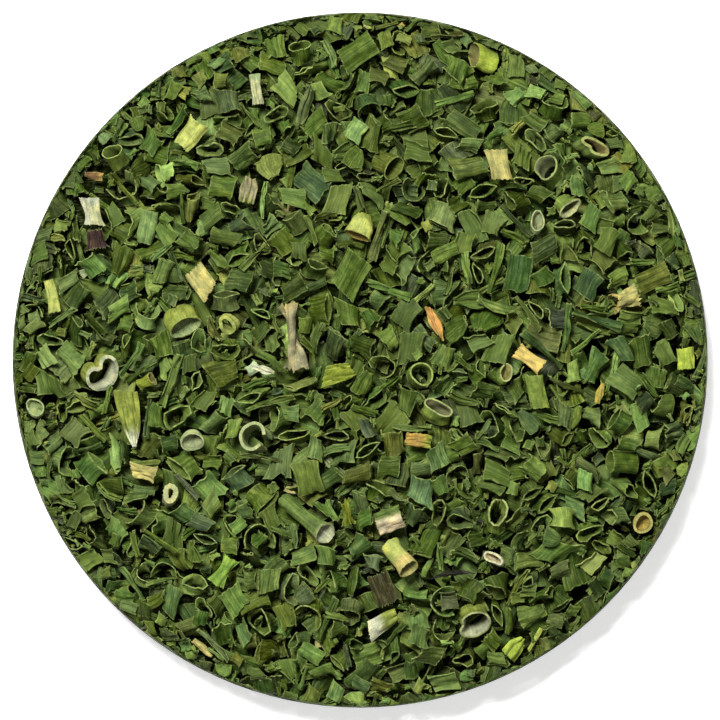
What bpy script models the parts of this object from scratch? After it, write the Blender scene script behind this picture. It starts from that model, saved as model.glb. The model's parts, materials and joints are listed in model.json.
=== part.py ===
"""Round bed of chopped dried chives: loose pieces of hollow leaf resting on a matted bed of the same.

The bed stands on its flat underside at Z = 0, centred on the Z axis, with +Y towards the far rim.
Every separate piece is a slice of a hollow chive leaf: a thin wall of leaf, closed into a tube,
split and sprung open, or nearly flat. It sits in a shallow seat in the top of the bed.
"""

import math
import random

import bmesh
import bpy
from mathutils import Matrix, Vector, noise

MM = 0.001

# The bed of matted pieces.
BED_RADIUS = 48.0 * MM
BED_HEIGHT = 12.5 * MM
BED_ROUNDING = 4.5
BED_SEGMENTS = 48
BED_PROFILE_ANGLES = 15
BED_LUMP = 0.6 * MM
BED_LUMP_SPACING = 6.0 * MM

# The loose pieces.
LEAF_WALL = 0.3 * MM
RAGGED_CUT = 0.12 * MM
RAGGED_SEED = 7
STANDS_PROUD = 1.2 * MM
LEAST_SINK = 0.3 * MM
STEEPEST_SLOPE = math.radians(38)

# The seats in the bed.
SEAT_GAP = 0.35 * MM
SEAT_REACH = 6.0 * MM

# What each kind of piece is: how far its wall wraps round (degrees), how round its section is,
# how much it narrows at its middle, how much its raised end opens, how far its long edges curl in,
# and how many faces it has round the wall and along the leaf.
KINDS = {
    "tube": dict(wrap=360, roundness=0.82, waist=0.08, flare=0.10, curl=0.0, around=12, along=2),
    "cup": dict(wrap=360, roundness=0.80, waist=0.05, flare=0.45, curl=0.0, around=12, along=2),
    "curl": dict(wrap=330, roundness=0.86, waist=0.00, flare=0.05, curl=0.42, around=15, along=2),
    "saddle": dict(wrap=150, roundness=0.85, waist=0.22, flare=0.10, curl=0.0, around=6, along=3),
    "plate": dict(wrap=64, roundness=1.00, waist=0.06, flare=0.00, curl=0.0, around=4, along=3),
    "strip": dict(wrap=120, roundness=0.80, waist=0.12, flare=0.20, curl=0.0, around=4, along=4),
}

# Leaf colours, as linear RGB, and how rough each surface is.
LEAF_COLOURS = {
    "green_leaf": ((0.105, 0.175, 0.045), 0.62),
    "olive_leaf": ((0.150, 0.165, 0.048), 0.65),
    "lime_leaf": ((0.330, 0.400, 0.085), 0.60),
    "pale_leaf": ((0.480, 0.500, 0.300), 0.66),
    "cream_leaf": ((0.620, 0.500, 0.220), 0.68),
    "tan_leaf": ((0.420, 0.240, 0.090), 0.70),
    "dark_leaf": ((0.035, 0.030, 0.022), 0.72),
}

# name, kind, colour, x and y of its middle (mm), heading of the leaf's length (degrees from +X),
# length and width (mm), pitch of its raised end (degrees), roll about its length (degrees)
PIECES = [
    ("lime_saddle_northwest", "saddle", "lime_leaf", -23.1, 31.0, 53, 4.0, 3.1, 4, 0),
    ("white_saddle_northwest", "saddle", "pale_leaf", -36.6, 20.2, 102, 3.8, 2.9, 6, 0),
    ("dark_chip_northwest", "plate", "dark_leaf", -36.0, 16.4, 15, 3.1, 2.3, 3, 0),
    ("ring_northwest", "tube", "green_leaf", -33.6, 27.8, 115, 3.0, 2.5, 72, 0),
    ("brown_chip_northwest", "strip", "tan_leaf", -36.5, 25.2, -15, 2.8, 1.4, 5, 0),
    ("lime_tube_northeast", "tube", "lime_leaf", 17.2, 41.8, 118, 3.6, 2.6, 24, 0),
    ("pale_saddle_northeast", "saddle", "cream_leaf", 19.0, 26.7, 104, 4.2, 2.8, 5, 0),
    ("pale_curl_northeast", "curl", "cream_leaf", 31.7, 29.4, 80, 2.6, 3.3, 68, 40),
    ("large_ring_northeast", "cup", "pale_leaf", 26.2, 25.7, 150, 3.2, 2.9, 58, 0),
    ("pale_cup_northeast", "cup", "pale_leaf", 28.3, 21.3, -50, 2.6, 2.3, 55, 0),
    ("white_oval_northeast", "tube", "pale_leaf", 24.3, 18.8, 95, 2.4, 1.9, 66, 90),
    ("cream_strip_north", "strip", "cream_leaf", -14.1, 37.0, 98, 4.2, 1.5, 6, 0),
    ("tan_chip_north", "plate", "tan_leaf", -15.3, 23.2, 80, 3.4, 2.3, 8, 0),
    ("yellow_saddle_north", "saddle", "lime_leaf", -0.3, 18.2, 70, 3.7, 2.9, 9, 0),
    ("wide_plate_north", "plate", "green_leaf", -0.3, 42.0, 35, 5.2, 4.0, 6, 0),
    ("ring_north", "tube", "green_leaf", -8.2, 42.2, 100, 2.8, 2.3, 70, 0),
    ("open_tube_north", "cup", "olive_leaf", 3.6, 27.0, -35, 3.6, 2.8, 48, 0),
    ("wrinkled_sheath_west", "strip", "cream_leaf", -9.0, 3.2, 95, 8.4, 2.5, 2, 0),
    ("white_sliver_west", "strip", "pale_leaf", -13.3, -1.3, -15, 3.0, 1.3, 6, 0),
    ("bright_saddle_centre", "saddle", "lime_leaf", -3.0, -2.2, 15, 3.8, 2.4, 4, 0),
    ("wide_plate_centre", "plate", "green_leaf", -1.2, 11.6, 62, 5.4, 4.3, 5, 0),
    ("orange_tip_east", "strip", "tan_leaf", 10.1, 5.0, -65, 4.2, 1.4, 8, 0),
    ("orange_chip_southeast", "plate", "tan_leaf", 8.0, -11.0, -8, 3.4, 1.9, 4, 0),
    ("ring_centre", "tube", "green_leaf", 8.1, -2.2, 60, 3.0, 2.9, 74, 0),
    ("tan_curl_centre", "curl", "cream_leaf", 10.6, -6.9, -60, 2.6, 3.1, 64, 120),
    ("wide_curl_southwest", "curl", "pale_leaf", -14.0, -10.7, 140, 2.6, 4.0, 66, 200),
    ("heart_curl_west", "curl", "pale_leaf", -35.6, -1.4, 170, 3.0, 4.8, 74, 250),
    ("pale_blade_west", "strip", "pale_leaf", -32.0, -8.0, -80, 7.6, 1.8, 4, 0),
    ("lime_strip_west", "strip", "lime_leaf", -42.2, 8.7, -76, 4.6, 1.7, 5, 0),
    ("wide_cup_west", "cup", "lime_leaf", -24.6, 5.6, -42, 4.4, 3.4, 30, 0),
    ("yellow_diamond_west", "plate", "cream_leaf", -21.8, 10.7, -50, 4.4, 2.6, 7, 0),
    ("small_ring_west", "tube", "lime_leaf", -17.8, 5.0, -120, 2.4, 1.9, 70, 0),
    ("pale_ring_southwest", "tube", "pale_leaf", -22.9, -10.9, -95, 3.0, 2.5, 60, 0),
    ("pale_disc_far_west", "tube", "pale_leaf", -44.6, -6.7, 40, 2.2, 2.3, 70, 90),
    ("orange_tube_west", "tube", "tan_leaf", -29.2, -3.0, 20, 2.6, 1.7, 22, 0),
    ("tan_saddle_southwest", "saddle", "cream_leaf", -29.6, -15.3, -10, 3.3, 2.3, 5, 0),
    ("cream_bow_east", "saddle", "cream_leaf", 23.1, 0.2, -35, 4.3, 2.5, 6, 0),
    ("cream_ring_east", "tube", "cream_leaf", 19.8, -2.0, 110, 2.4, 1.7, 56, 0),
    ("green_saddle_east", "saddle", "green_leaf", 24.3, -4.4, 102, 4.6, 2.6, 5, 0),
    ("cream_crumple_east", "saddle", "cream_leaf", 36.2, 8.3, 20, 3.8, 3.0, 9, 0),
    ("lime_square_far_east", "plate", "lime_leaf", 44.6, 0.2, 96, 3.0, 2.6, 4, 0),
    ("olive_plate_east", "plate", "olive_leaf", 40.0, 11.2, 25, 4.8, 3.1, 5, 0),
    ("tube_east", "tube", "green_leaf", 36.0, -14.1, 176, 4.0, 2.6, 20, 0),
    ("yellow_strip_east", "strip", "tan_leaf", 32.7, -4.6, 76, 2.8, 1.2, 6, 0),
    ("lime_saddle_southwest", "saddle", "lime_leaf", -18.8, -29.0, 62, 3.9, 2.0, 8, 0),
    ("white_sliver_south", "strip", "pale_leaf", -21.7, -39.4, -40, 3.3, 1.3, 5, 0),
    ("cream_oval_southwest", "tube", "cream_leaf", -26.0, -18.6, 70, 2.6, 2.0, 62, 90),
    ("striped_saddle_south", "saddle", "cream_leaf", 4.0, -22.0, 20, 3.4, 3.0, 5, 0),
    ("lime_tube_south", "tube", "lime_leaf", 5.4, -27.0, -50, 4.1, 2.2, 14, 0),
    ("long_cup_south", "cup", "green_leaf", -7.5, -21.6, -40, 7.6, 1.9, 7, 0),
    ("white_saddle_south", "saddle", "pale_leaf", 3.1, -36.4, 35, 4.4, 2.4, 5, 0),
    ("wide_curl_southeast", "curl", "pale_leaf", 16.0, -36.0, 30, 2.8, 3.8, 68, 300),
    ("dark_plate_south", "plate", "dark_leaf", 3.3, -31.3, 112, 4.0, 3.0, 4, 0),
    ("ragged_strip_south", "strip", "lime_leaf", -1.7, -20.8, 100, 3.4, 1.6, 6, 0),
    ("cream_ring_southeast", "tube", "cream_leaf", 39.0, -22.4, 150, 3.0, 2.8, 68, 0),
    ("ladder_ring_southeast", "tube", "green_leaf", 18.8, -21.5, 85, 3.2, 2.7, 60, 90),
    ("white_oval_southeast", "tube", "pale_leaf", 18.4, -27.3, 120, 2.4, 2.0, 50, 0),
    ("lime_chip_southeast", "plate", "lime_leaf", 21.0, -39.7, 60, 3.1, 2.7, 5, 0),
]

# The one thing in the bed that is no leaf: a dry black stalk.
STALK = dict(name="dark_stalk_southeast", colour="dark_leaf", x=12.6, y=-29.6, heading=8)
STALK_LENGTH = 6.4 * MM
STALK_THICKNESS = 0.9 * MM
STALK_BOW = 0.5 * MM


def start_empty():
    """Remove every object and make the two collections: the pieces and the seat cutters."""
    for thing in list(bpy.data.objects):
        bpy.data.objects.remove(thing)
    made = []
    for title in ("chopped_chives", "seat_cutters"):
        collection = bpy.data.collections.new(title)
        bpy.context.scene.collection.children.link(collection)
        made.append(collection)
    made[1].hide_render = True
    return made


def leaf_material(name):
    colour, roughness = LEAF_COLOURS[name]
    material = bpy.data.materials.new(name)
    material.use_nodes = True
    shader = material.node_tree.nodes["Principled BSDF"]
    shader.inputs["Base Color"].default_value = (*colour, 1.0)
    shader.inputs["Roughness"].default_value = roughness
    shader.inputs["Metallic"].default_value = 0.0
    return material


def move_to(collection, thing):
    for other in list(thing.users_collection):
        other.objects.unlink(thing)
    collection.objects.link(thing)


def bed_surface(radius):
    """Height of the bed's smooth top at this distance from its axis."""
    share = min(radius / BED_RADIUS, 1.0)
    return BED_HEIGHT * (1.0 - share**BED_ROUNDING) ** (1.0 / BED_ROUNDING)


def resting_frame(x, y, heading):
    """Matrix of a place on the bed's top: its Z is square to the bed, its X along the heading."""
    radius = math.hypot(x, y)
    step = 0.2 * MM
    fall = bed_surface(radius - step) - bed_surface(radius + step)
    slope = min(math.atan2(fall, 2 * step), STEEPEST_SLOPE)
    outward = Vector((x, y, 0.0)).normalized()
    across = Vector((0.0, 0.0, 1.0)).cross(outward)
    lean = Matrix.Rotation(slope, 4, across)
    turn = Matrix.Rotation(math.radians(heading), 4, "Z")
    return Matrix.Translation((x, y, bed_surface(radius))) @ lean @ turn


def leaf_point(kind, across, along, length, width):
    """Where a point of the flat leaf goes once it is wrapped. Both places run from -0.5 to 0.5."""
    wrap = math.radians(kind["wrap"])
    radius = width / 2 if wrap >= math.pi else width / 2 / math.sin(wrap / 2)
    radius *= 1.0 - kind["waist"] * (1.0 - (2 * along) ** 2)
    radius *= 1.0 + kind["flare"] * max(0.0, 2 * along) ** 2
    radius *= 1.0 - kind["curl"] * abs(2 * across) ** 3
    angle = across * wrap
    crown = math.cos(wrap / 4) if wrap < math.pi else 0.0
    return Vector((
        along * length,
        radius * math.sin(angle),
        radius * (math.cos(angle) - crown) * kind["roundness"],
    ))


def leaf_piece(row, materials, collection, chance):
    """One slice of leaf: a grid wrapped round its length, given a wall, and set on the bed."""
    name, kind_name, colour, x, y, heading, length, width, pitch, roll = row
    kind = KINDS[kind_name]
    bpy.ops.mesh.primitive_grid_add(x_subdivisions=kind["along"], y_subdivisions=kind["around"], size=1)
    piece = bpy.context.object
    piece.name = name
    move_to(collection, piece)
    shape = bmesh.new()
    shape.from_mesh(piece.data)
    for vertex in shape.verts:
        along, across = vertex.co.x, vertex.co.y
        vertex.co = leaf_point(kind, across, along, length * MM, width * MM)
        if abs(along) > 0.49 and abs(across) < 0.49:
            vertex.co.x += chance.uniform(-RAGGED_CUT, RAGGED_CUT)
    bmesh.ops.remove_doubles(shape, verts=shape.verts, dist=0.05 * MM)
    shape.to_mesh(piece.data)
    shape.free()
    tilt = Matrix.Rotation(math.radians(-pitch), 4, "Y") @ Matrix.Rotation(math.radians(roll), 4, "X")
    piece.data.transform(tilt)
    piece.data.update()
    piece.data.shade_smooth()
    piece.data.materials.append(materials[colour])
    wall = piece.modifiers.new("leaf_wall", "SOLIDIFY")
    wall.thickness = LEAF_WALL
    wall.offset = 0.0
    set_on_bed(piece, x * MM, y * MM, heading)
    return piece


def set_on_bed(piece, x, y, heading):
    """Place a piece so that it sinks a little into the bed and its top stands proud of it."""
    bpy.context.view_layer.update()
    low, high = finished_box(piece)
    bottom = min(-LEAST_SINK, STANDS_PROUD - (high.z - low.z))
    piece.matrix_world = resting_frame(x, y, heading) @ Matrix.Translation((0.0, 0.0, bottom - low.z))


def finished_box(piece):
    """Lowest and highest corners of the finished piece's box, in its own axes."""
    graph = bpy.context.evaluated_depsgraph_get()
    finished = piece.evaluated_get(graph)
    places = [vertex.co.copy() for vertex in finished.to_mesh().vertices]
    finished.to_mesh_clear()
    low = Vector([min(place[axis] for place in places) for axis in range(3)])
    high = Vector([max(place[axis] for place in places) for axis in range(3)])
    return low, high


def stalk(materials, collection):
    """A dry stalk: a short bowed rod that thins towards both ends."""
    path = bpy.data.curves.new(STALK["name"], "CURVE")
    path.dimensions = "3D"
    path.bevel_depth = STALK_THICKNESS / 2
    path.bevel_resolution = 1
    path.use_fill_caps = True
    line = path.splines.new("POLY")
    count = 7
    line.points.add(count - 1)
    for index, point in enumerate(line.points):
        share = index / (count - 1) * 2 - 1
        point.co = (share * STALK_LENGTH / 2, STALK_BOW * (1 - share**2), 0.0, 1.0)
        point.radius = 1.0 - 0.6 * share**2
    piece = bpy.data.objects.new(STALK["name"], path)
    collection.objects.link(piece)
    piece.data.materials.append(materials[STALK["colour"]])
    set_on_bed(piece, STALK["x"] * MM, STALK["y"] * MM, STALK["heading"])
    return piece


def seat_cutter(piece, collection):
    """A block round the piece and open upwards, which leaves its seat in the bed."""
    low, high = finished_box(piece)
    low -= Vector((SEAT_GAP, SEAT_GAP, SEAT_GAP))
    high += Vector((SEAT_GAP, SEAT_GAP, SEAT_REACH))
    bpy.ops.mesh.primitive_cube_add(size=1)
    cutter = bpy.context.object
    cutter.name = "seat_" + piece.name
    move_to(collection, cutter)
    size = Matrix.Diagonal((*(high - low), 1.0))
    cutter.data.transform(Matrix.Translation((low + high) / 2) @ size)
    cutter.matrix_world = piece.matrix_world
    cutter.hide_render = True
    cutter.display_type = "WIRE"


def turned_bed(material, collection):
    """The matted bed: a turned profile, flat below and rounded over, with a lumpy top."""
    profile = bpy.data.meshes.new("bed_profile")
    shape = bmesh.new()
    points = [(0.0, BED_HEIGHT)]
    for index in range(1, BED_PROFILE_ANGLES + 1):
        angle = math.pi / 2 * index / BED_PROFILE_ANGLES
        power = 2.0 / BED_ROUNDING
        points.append((BED_RADIUS * math.sin(angle) ** power, BED_HEIGHT * max(math.cos(angle), 0.0) ** power))
    points[-1] = (BED_RADIUS, 0.0)
    inner = [(points[1][0] * share, bed_surface(points[1][0] * share)) for share in (0.25, 0.5, 0.75)]
    points[1:1] = inner
    points += [(BED_RADIUS * 0.6, 0.0), (0.0, 0.0)]
    corners = [shape.verts.new((radius, 0.0, height)) for radius, height in points]
    for first, second in zip(corners, corners[1:]):
        shape.edges.new((first, second))
    shape.to_mesh(profile)
    shape.free()
    turning = bpy.data.objects.new("bed_profile", profile)
    collection.objects.link(turning)
    turn = turning.modifiers.new("turn", "SCREW")
    turn.steps = turn.render_steps = BED_SEGMENTS
    turn.use_merge_vertices = True
    turn.merge_threshold = 0.05 * MM
    bpy.context.view_layer.update()
    graph = bpy.context.evaluated_depsgraph_get()
    mesh = bpy.data.meshes.new_from_object(turning.evaluated_get(graph))
    bpy.data.objects.remove(turning)
    roughen(mesh)
    bed = bpy.data.objects.new("matted_bed", mesh)
    collection.objects.link(bed)
    bed.data.materials.clear()
    bed.data.materials.append(material)
    return bed


def roughen(mesh):
    """Raise and lower the bed's top in soft lumps, which fade out towards its rim and underside."""
    for vertex in mesh.vertices:
        lift = noise.noise(vertex.co / BED_LUMP_SPACING) * BED_LUMP
        share = math.hypot(vertex.co.x, vertex.co.y) / BED_RADIUS
        if vertex.co.z > BED_LUMP:
            vertex.co.z += lift * (1.0 - share**8)


def cut_seats(bed, cutters):
    cut = bed.modifiers.new("seats", "BOOLEAN")
    cut.operation = "DIFFERENCE"
    cut.operand_type = "COLLECTION"
    cut.collection = cutters
    cut.solver = "EXACT"


def main():
    pieces, cutters = start_empty()
    materials = {name: leaf_material(name) for name in LEAF_COLOURS}
    bed = turned_bed(materials["green_leaf"], pieces)
    chance = random.Random(RAGGED_SEED)
    loose = [leaf_piece(row, materials, pieces, chance) for row in PIECES]
    loose.append(stalk(materials, pieces))
    bpy.context.view_layer.update()
    for piece in loose:
        seat_cutter(piece, cutters)
    cut_seats(bed, cutters)


main()
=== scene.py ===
"""The looks of the heap of dried chopped chives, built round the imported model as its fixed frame.

Every slice of chive is a thin wall of leaf with two cut ends. A few shapes of slice are made by formula,
laid down one after another on a height map of the heap, and set out by Geometry Nodes.
"""

import json
import math
import random

import bpy
import numpy as np
from bpy.props import FloatProperty, FloatVectorProperty, IntProperty, PointerProperty
from mathutils import Euler, Matrix, Vector

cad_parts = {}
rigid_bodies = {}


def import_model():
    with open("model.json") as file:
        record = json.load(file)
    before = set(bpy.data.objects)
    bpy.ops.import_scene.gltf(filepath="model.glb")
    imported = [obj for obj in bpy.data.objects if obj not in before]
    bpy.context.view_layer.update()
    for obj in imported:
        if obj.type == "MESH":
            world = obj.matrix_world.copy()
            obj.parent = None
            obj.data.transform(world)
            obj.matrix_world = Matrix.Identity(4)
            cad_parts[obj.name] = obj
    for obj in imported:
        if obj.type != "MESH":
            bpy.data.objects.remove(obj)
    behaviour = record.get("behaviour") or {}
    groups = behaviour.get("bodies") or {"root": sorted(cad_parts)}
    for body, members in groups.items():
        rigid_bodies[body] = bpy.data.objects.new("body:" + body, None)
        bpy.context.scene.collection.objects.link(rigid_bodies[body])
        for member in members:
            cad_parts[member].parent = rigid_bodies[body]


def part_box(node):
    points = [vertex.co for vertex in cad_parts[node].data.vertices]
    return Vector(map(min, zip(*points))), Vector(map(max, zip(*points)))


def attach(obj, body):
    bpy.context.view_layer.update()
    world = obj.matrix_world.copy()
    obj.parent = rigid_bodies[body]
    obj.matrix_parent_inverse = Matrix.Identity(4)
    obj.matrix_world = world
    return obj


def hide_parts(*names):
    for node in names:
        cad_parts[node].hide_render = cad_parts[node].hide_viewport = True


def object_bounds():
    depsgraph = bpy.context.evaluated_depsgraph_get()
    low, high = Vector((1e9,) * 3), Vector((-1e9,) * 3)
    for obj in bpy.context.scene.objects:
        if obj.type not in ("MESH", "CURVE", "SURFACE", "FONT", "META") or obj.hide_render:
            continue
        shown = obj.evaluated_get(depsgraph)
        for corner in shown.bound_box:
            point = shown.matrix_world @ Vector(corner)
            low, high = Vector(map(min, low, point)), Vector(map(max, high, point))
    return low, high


bl_info = {
    "name": "Heap of dried chopped chives",
    "version": (1, 0, 0),
    "blender": (4, 5, 0),
    "location": "3D View > Sidebar > Chives",
    "description": "Builds a round heap of dried chopped chives slice by slice",
    "category": "Add Mesh",
}

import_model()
CAD_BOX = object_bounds()

MM = 0.001
OUTLINE_RADIUS = (CAD_BOX[1].x - CAD_BOX[0].x) / 2 / MM
HEAP_TOP = CAD_BOX[1].z / MM
BED_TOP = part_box("matted_bed")[1].z / MM

# ---------------------------------------------------------------- shapes of slices

def slice_kind(share, length, width, waist, bend, wrap=None):
    """How often a kind of slice occurs, and the ranges that its shape is drawn from."""
    return dict(share=share, length=length, width=width, waist=waist, bend=bend, wrap=wrap)


# Each kind of slice: how often it occurs, length and width of leaf (mm), how much it narrows at its
# middle, how far it bends along its length (degrees) and how far its wall wraps round (degrees).
SLICE_KINDS = {
    "plate": slice_kind(16, (2.6, 4.8), (2.0, 3.7), (0.0, 0.15), (-40, 45), (15, 80)),
    "saddle": slice_kind(18, (2.5, 4.2), (2.4, 3.9), (0.1, 0.3), (-60, -15), (60, 140)),
    "trough": slice_kind(12, (2.3, 4.4), (2.8, 4.8), (0.0, 0.2), (-35, 20), (120, 240)),
    "crease": slice_kind(9, (2.4, 4.2), (2.4, 4.0), (0.0, 0.2), (-35, 25), (10, 70)),
    "curl": slice_kind(9, (1.6, 3.4), (5.0, 8.2), (0.0, 0.15), (-20, 10), (270, 350)),
    "strip": slice_kind(6, (3.0, 6.2), (0.5, 1.5), (0.0, 0.2), (-70, 60), (20, 150)),
    "flat_tube": slice_kind(17, (2.4, 4.6), (1.3, 2.3), (0.0, 0.18), (-28, 28)),
    "tube": slice_kind(20, (1.7, 4.2), (1.5, 2.9), (0.0, 0.18), (-22, 22)),
    "crumb": slice_kind(5, (0.7, 1.7), (0.6, 1.6), (0.0, 0.2), (-60, 60), (20, 160)),
}
CLOSED_KINDS = ("flat_tube", "tube")
STANDING_KINDS = ("tube", "curl", "flat_tube")
FLAT_KINDS = ("plate", "crease", "strip", "crumb", "flat_tube")
SHAPES_OF_EACH = 5

# Wall and distance of the last row from an end, both in mm, and how strong the painted highlight along a
# side edge is, where light would catch the wall's thickness.
WALL = 0.15
END_ROW = 0.13
SIDE_EDGE_HIGHLIGHT = 0.45

# Shares of a slice: how narrow an end may become, how wide a crease and a notch are, and how much of
# the ragged end the row behind it takes. Edges between faces steeper than the angle stay sharp.
NARROWEST = 0.06
CREASE_WIDTH = 0.1
NOTCH_WIDTH = 0.13
INNER_FRINGE = 0.6
SHARP_ANGLE = math.radians(55)

# What one slice of leaf looks like, unless it says otherwise: lengths in mm, angles in degrees, the
# rest as shares. In a pair the first is for its near end and the second for its far end.
PLAIN_SLICE = dict(
    length=3.6, width=3.0, wall=WALL,
    wrap=60.0, tightening=1.0, crease=0.0, crease_place=0.0, lift=0.0,
    flat=0.8, pinch=0.0, slant=0.0, dimple=0.0, dimple_place=0.0, dimple_width=0.08,
    gape=0.0, waist=0.08, flare=(0.0, 0.0), taper=(0.0, 0.0), skew=(0.0, 0.0),
    notch=0.0, notch_place=0.0, ragged=0.09,
    bend=0.0, twist=0.0, lump=0.08, crumple=0.0, ripple=0.06, ripples=3.0, rib=0.0,
)


class Slice:
    """One slice of leaf, whose attributes are those of PLAIN_SLICE."""

    def __init__(self, kind, **values):
        self.closed = kind in CLOSED_KINDS
        self.__dict__.update(PLAIN_SLICE, **values)


def random_slice(kind, chance):
    """One slice of a kind, drawn from the kind's ranges."""
    ranges = SLICE_KINDS[kind]
    drawn = {name: chance.uniform(*ranges[name]) for name in ("length", "width", "waist", "bend")}
    made = Slice(kind, **drawn)
    if not made.closed:
        made.wrap = chance.uniform(*ranges["wrap"])
    made.flat = chance.uniform(0.12, 0.4) if kind == "flat_tube" else chance.uniform(0.45, 0.95)
    made.pinch = chance.uniform(0.2, 0.7) if kind == "flat_tube" else chance.uniform(0.0, 0.35)
    made.gape = chance.uniform(-0.7, 0.7) if made.closed else chance.uniform(-0.5, 0.5)
    made.tightening = chance.uniform(0.9, 1.6) if kind == "curl" else chance.uniform(0.7, 1.5)
    if kind == "crease":
        made.crease = chance.uniform(55, 140) * chance.choice((-1, 1))
        made.crease_place = chance.uniform(-0.25, 0.25)
    elif kind == "plate" and chance.random() < 0.6:
        made.crease = chance.uniform(-45, 45)
        made.crease_place = chance.uniform(-0.3, 0.3)
    made.flare = (chance.uniform(-0.1, 0.2), chance.uniform(-0.1, 0.28))
    lean = chance.gauss(0.0, 0.2)
    made.skew = (lean + chance.gauss(0.0, 0.15), lean + chance.gauss(0.0, 0.15))
    made.slant = chance.gauss(0.0, 0.3)
    if chance.random() < 0.3:
        made.notch = chance.uniform(0.2, 0.9) * chance.choice((-1, 1))
        made.notch_place = chance.uniform(-0.5, 0.5)
    if chance.random() < (0.6 if kind == "strip" else 0.16):
        made.taper = (chance.uniform(0.0, 0.3), chance.uniform(0.3, 0.95))
    if made.closed and chance.random() < 0.5:
        made.dimple, made.dimple_place = chance.uniform(0.1, 0.5), chance.uniform(-0.5, 0.5)
        made.dimple_width = chance.uniform(0.06, 0.14)
    made.crumple = chance.uniform(0.0, 0.06)
    made.twist = chance.gauss(0.0, 55.0 if kind == "strip" else 20.0)
    made.lift = chance.gauss(0.0, 0.3)
    made.lump = chance.uniform(0.05, 0.16)
    made.ripple = chance.uniform(0.03, 0.2)
    made.ripples = chance.uniform(1.5, 4.5)
    made.ragged = chance.uniform(0.05, 0.15)
    made.rib = chance.uniform(0.0, 0.05)
    if kind == "crumb":
        made.lump, made.ripple, made.ragged = 0.05, 0.06, 0.12
    return made


def places_along(rows, length):
    """Places from -0.5 to 0.5 along a slice, with a narrow row at each cut end."""
    inner = np.linspace(-0.5, 0.5, rows - 1)
    inset = min(END_ROW / length, 0.1)
    return np.unique(np.concatenate((inner, (-0.5 + inset, 0.5 - inset))))


def open_section(leaf, along, across):
    """Y and Z of a wall that bends evenly, more towards its edges, or sharply at a crease."""
    middle = (across[:, 1:] + across[:, :-1]) / 2
    wrap = math.radians(leaf.wrap) * (1 + leaf.gape * 2 * along)
    turned = wrap / 2 * np.sign(middle) * np.abs(2 * middle) ** leaf.tightening
    sharpness = np.clip((middle - leaf.crease_place) / CREASE_WIDTH, -1, 1)
    turned = turned + math.radians(leaf.crease) / 2 * sharpness
    step = leaf.width / (across.shape[1] - 1)
    start = np.zeros((len(along), 1))
    y = np.hstack((start, np.cumsum(np.cos(turned) * step, axis=1)))
    z = np.hstack((start, np.cumsum(-np.sin(turned) * step, axis=1)))
    return y - y.mean(axis=1, keepdims=True), z - z.mean(axis=1, keepdims=True)


def closed_section(leaf, along, across):
    """Y and Z of a tube, round or pressed flat, whose ends may open differently."""
    angle = across * 2 * math.pi
    flat = np.clip(leaf.flat * (1 + leaf.gape * 2 * along), 0.12, 1.0)
    away = (across - leaf.dimple_place + 0.5) % 1.0 - 0.5
    half = leaf.width / (1 + flat) * (1 - leaf.dimple * np.exp(-((away / leaf.dimple_width) ** 2)))
    y = half * np.sin(angle)
    z = half * flat * np.cos(angle) * (1 - leaf.pinch * np.abs(np.sin(angle)) ** 3)
    return y, z


def leaf_surface(leaf, rows, columns, chance):
    """The middle surface of a slice, as an array of rows x columns x 3 in mm, and its flat places."""
    along = places_along(rows, leaf.length)[:, None]
    count = columns if leaf.closed else columns + 1
    across = (np.arange(count) / columns - 0.5)[None, :]
    y, z = (closed_section if leaf.closed else open_section)(leaf, along, across)
    end = 2 * along
    girth = 1 - leaf.waist * (1 - end**2)
    girth = girth + leaf.flare[0] * np.clip(-end, 0, 1) ** 2 + leaf.flare[1] * np.clip(end, 0, 1) ** 2
    girth = girth - leaf.taper[0] * np.clip(-end, 0, 1) ** 1.5 - leaf.taper[1] * np.clip(end, 0, 1) ** 1.5
    girth = np.maximum(girth, NARROWEST)
    x = along * leaf.length + 0 * y
    if leaf.closed:
        grain = np.stack((x, y, z), axis=-1)
    else:
        grain = np.stack((x, across * leaf.width + 0 * x, 0 * x), axis=-1)
    y, z = y * girth, z * girth
    if not leaf.closed:
        z = z + leaf.lift * (2 * across) ** 2 * end**2
    skew = leaf.skew[0] * (0.5 - along) + leaf.skew[1] * (0.5 + along)
    x = x + skew * y + leaf.slant * z * (1 if leaf.closed else 0)
    bite = np.abs(leaf.notch) * np.exp(-(((across - leaf.notch_place) / NOTCH_WIDTH) ** 2))
    x = x - np.sign(leaf.notch) * bite * np.clip(end * np.sign(leaf.notch), 0, 1) ** 2
    surface = np.stack((x, y, z), axis=-1)
    surface += surface_normals(surface, leaf.closed) * dents(leaf, along, across, chance)[..., None]
    fringe = np.array([chance.uniform(-1, 1) for _ in range(2 * count)]).reshape(2, count) * leaf.ragged
    surface[0, :, 0] += fringe[0]
    surface[-1, :, 0] += fringe[1]
    surface[1, :, 0] += fringe[0] * INNER_FRINGE
    surface[-2, :, 0] += fringe[1] * INNER_FRINGE
    return bent(surface, leaf), grain


def dents(leaf, along, across, chance):
    """How far each place is pushed out of the even surface: soft lumps, waves at the ends and fine ribs."""
    angle = 2 * math.pi
    push = np.zeros((along.shape[0], across.shape[1]))
    for _ in range(3):
        waves = chance.uniform(-1.2, 1.2), chance.choice((-2, -1, 1, 2))
        push += leaf.lump * np.sin(angle * (waves[0] * along + waves[1] * across + chance.random()))
    for _ in range(4):
        waves = chance.uniform(-2.6, 2.6), chance.choice((-4, -3, 3, 4))
        push += leaf.crumple * np.sin(angle * (waves[0] * along + waves[1] * across + chance.random()))
    ends = 0.15 + 0.85 * (2 * along) ** 2
    count = round(leaf.ripples) if leaf.closed else leaf.ripples
    push += leaf.ripple * ends * np.sin(angle * (count * across + 0.3 * along + chance.random()))
    columns = np.arange(across.shape[1])[None, :]
    return push + leaf.rib * (columns % 2 - 0.5) * np.clip(1.2 - 0.9 * (2 * along) ** 6, 0, 1)


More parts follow.
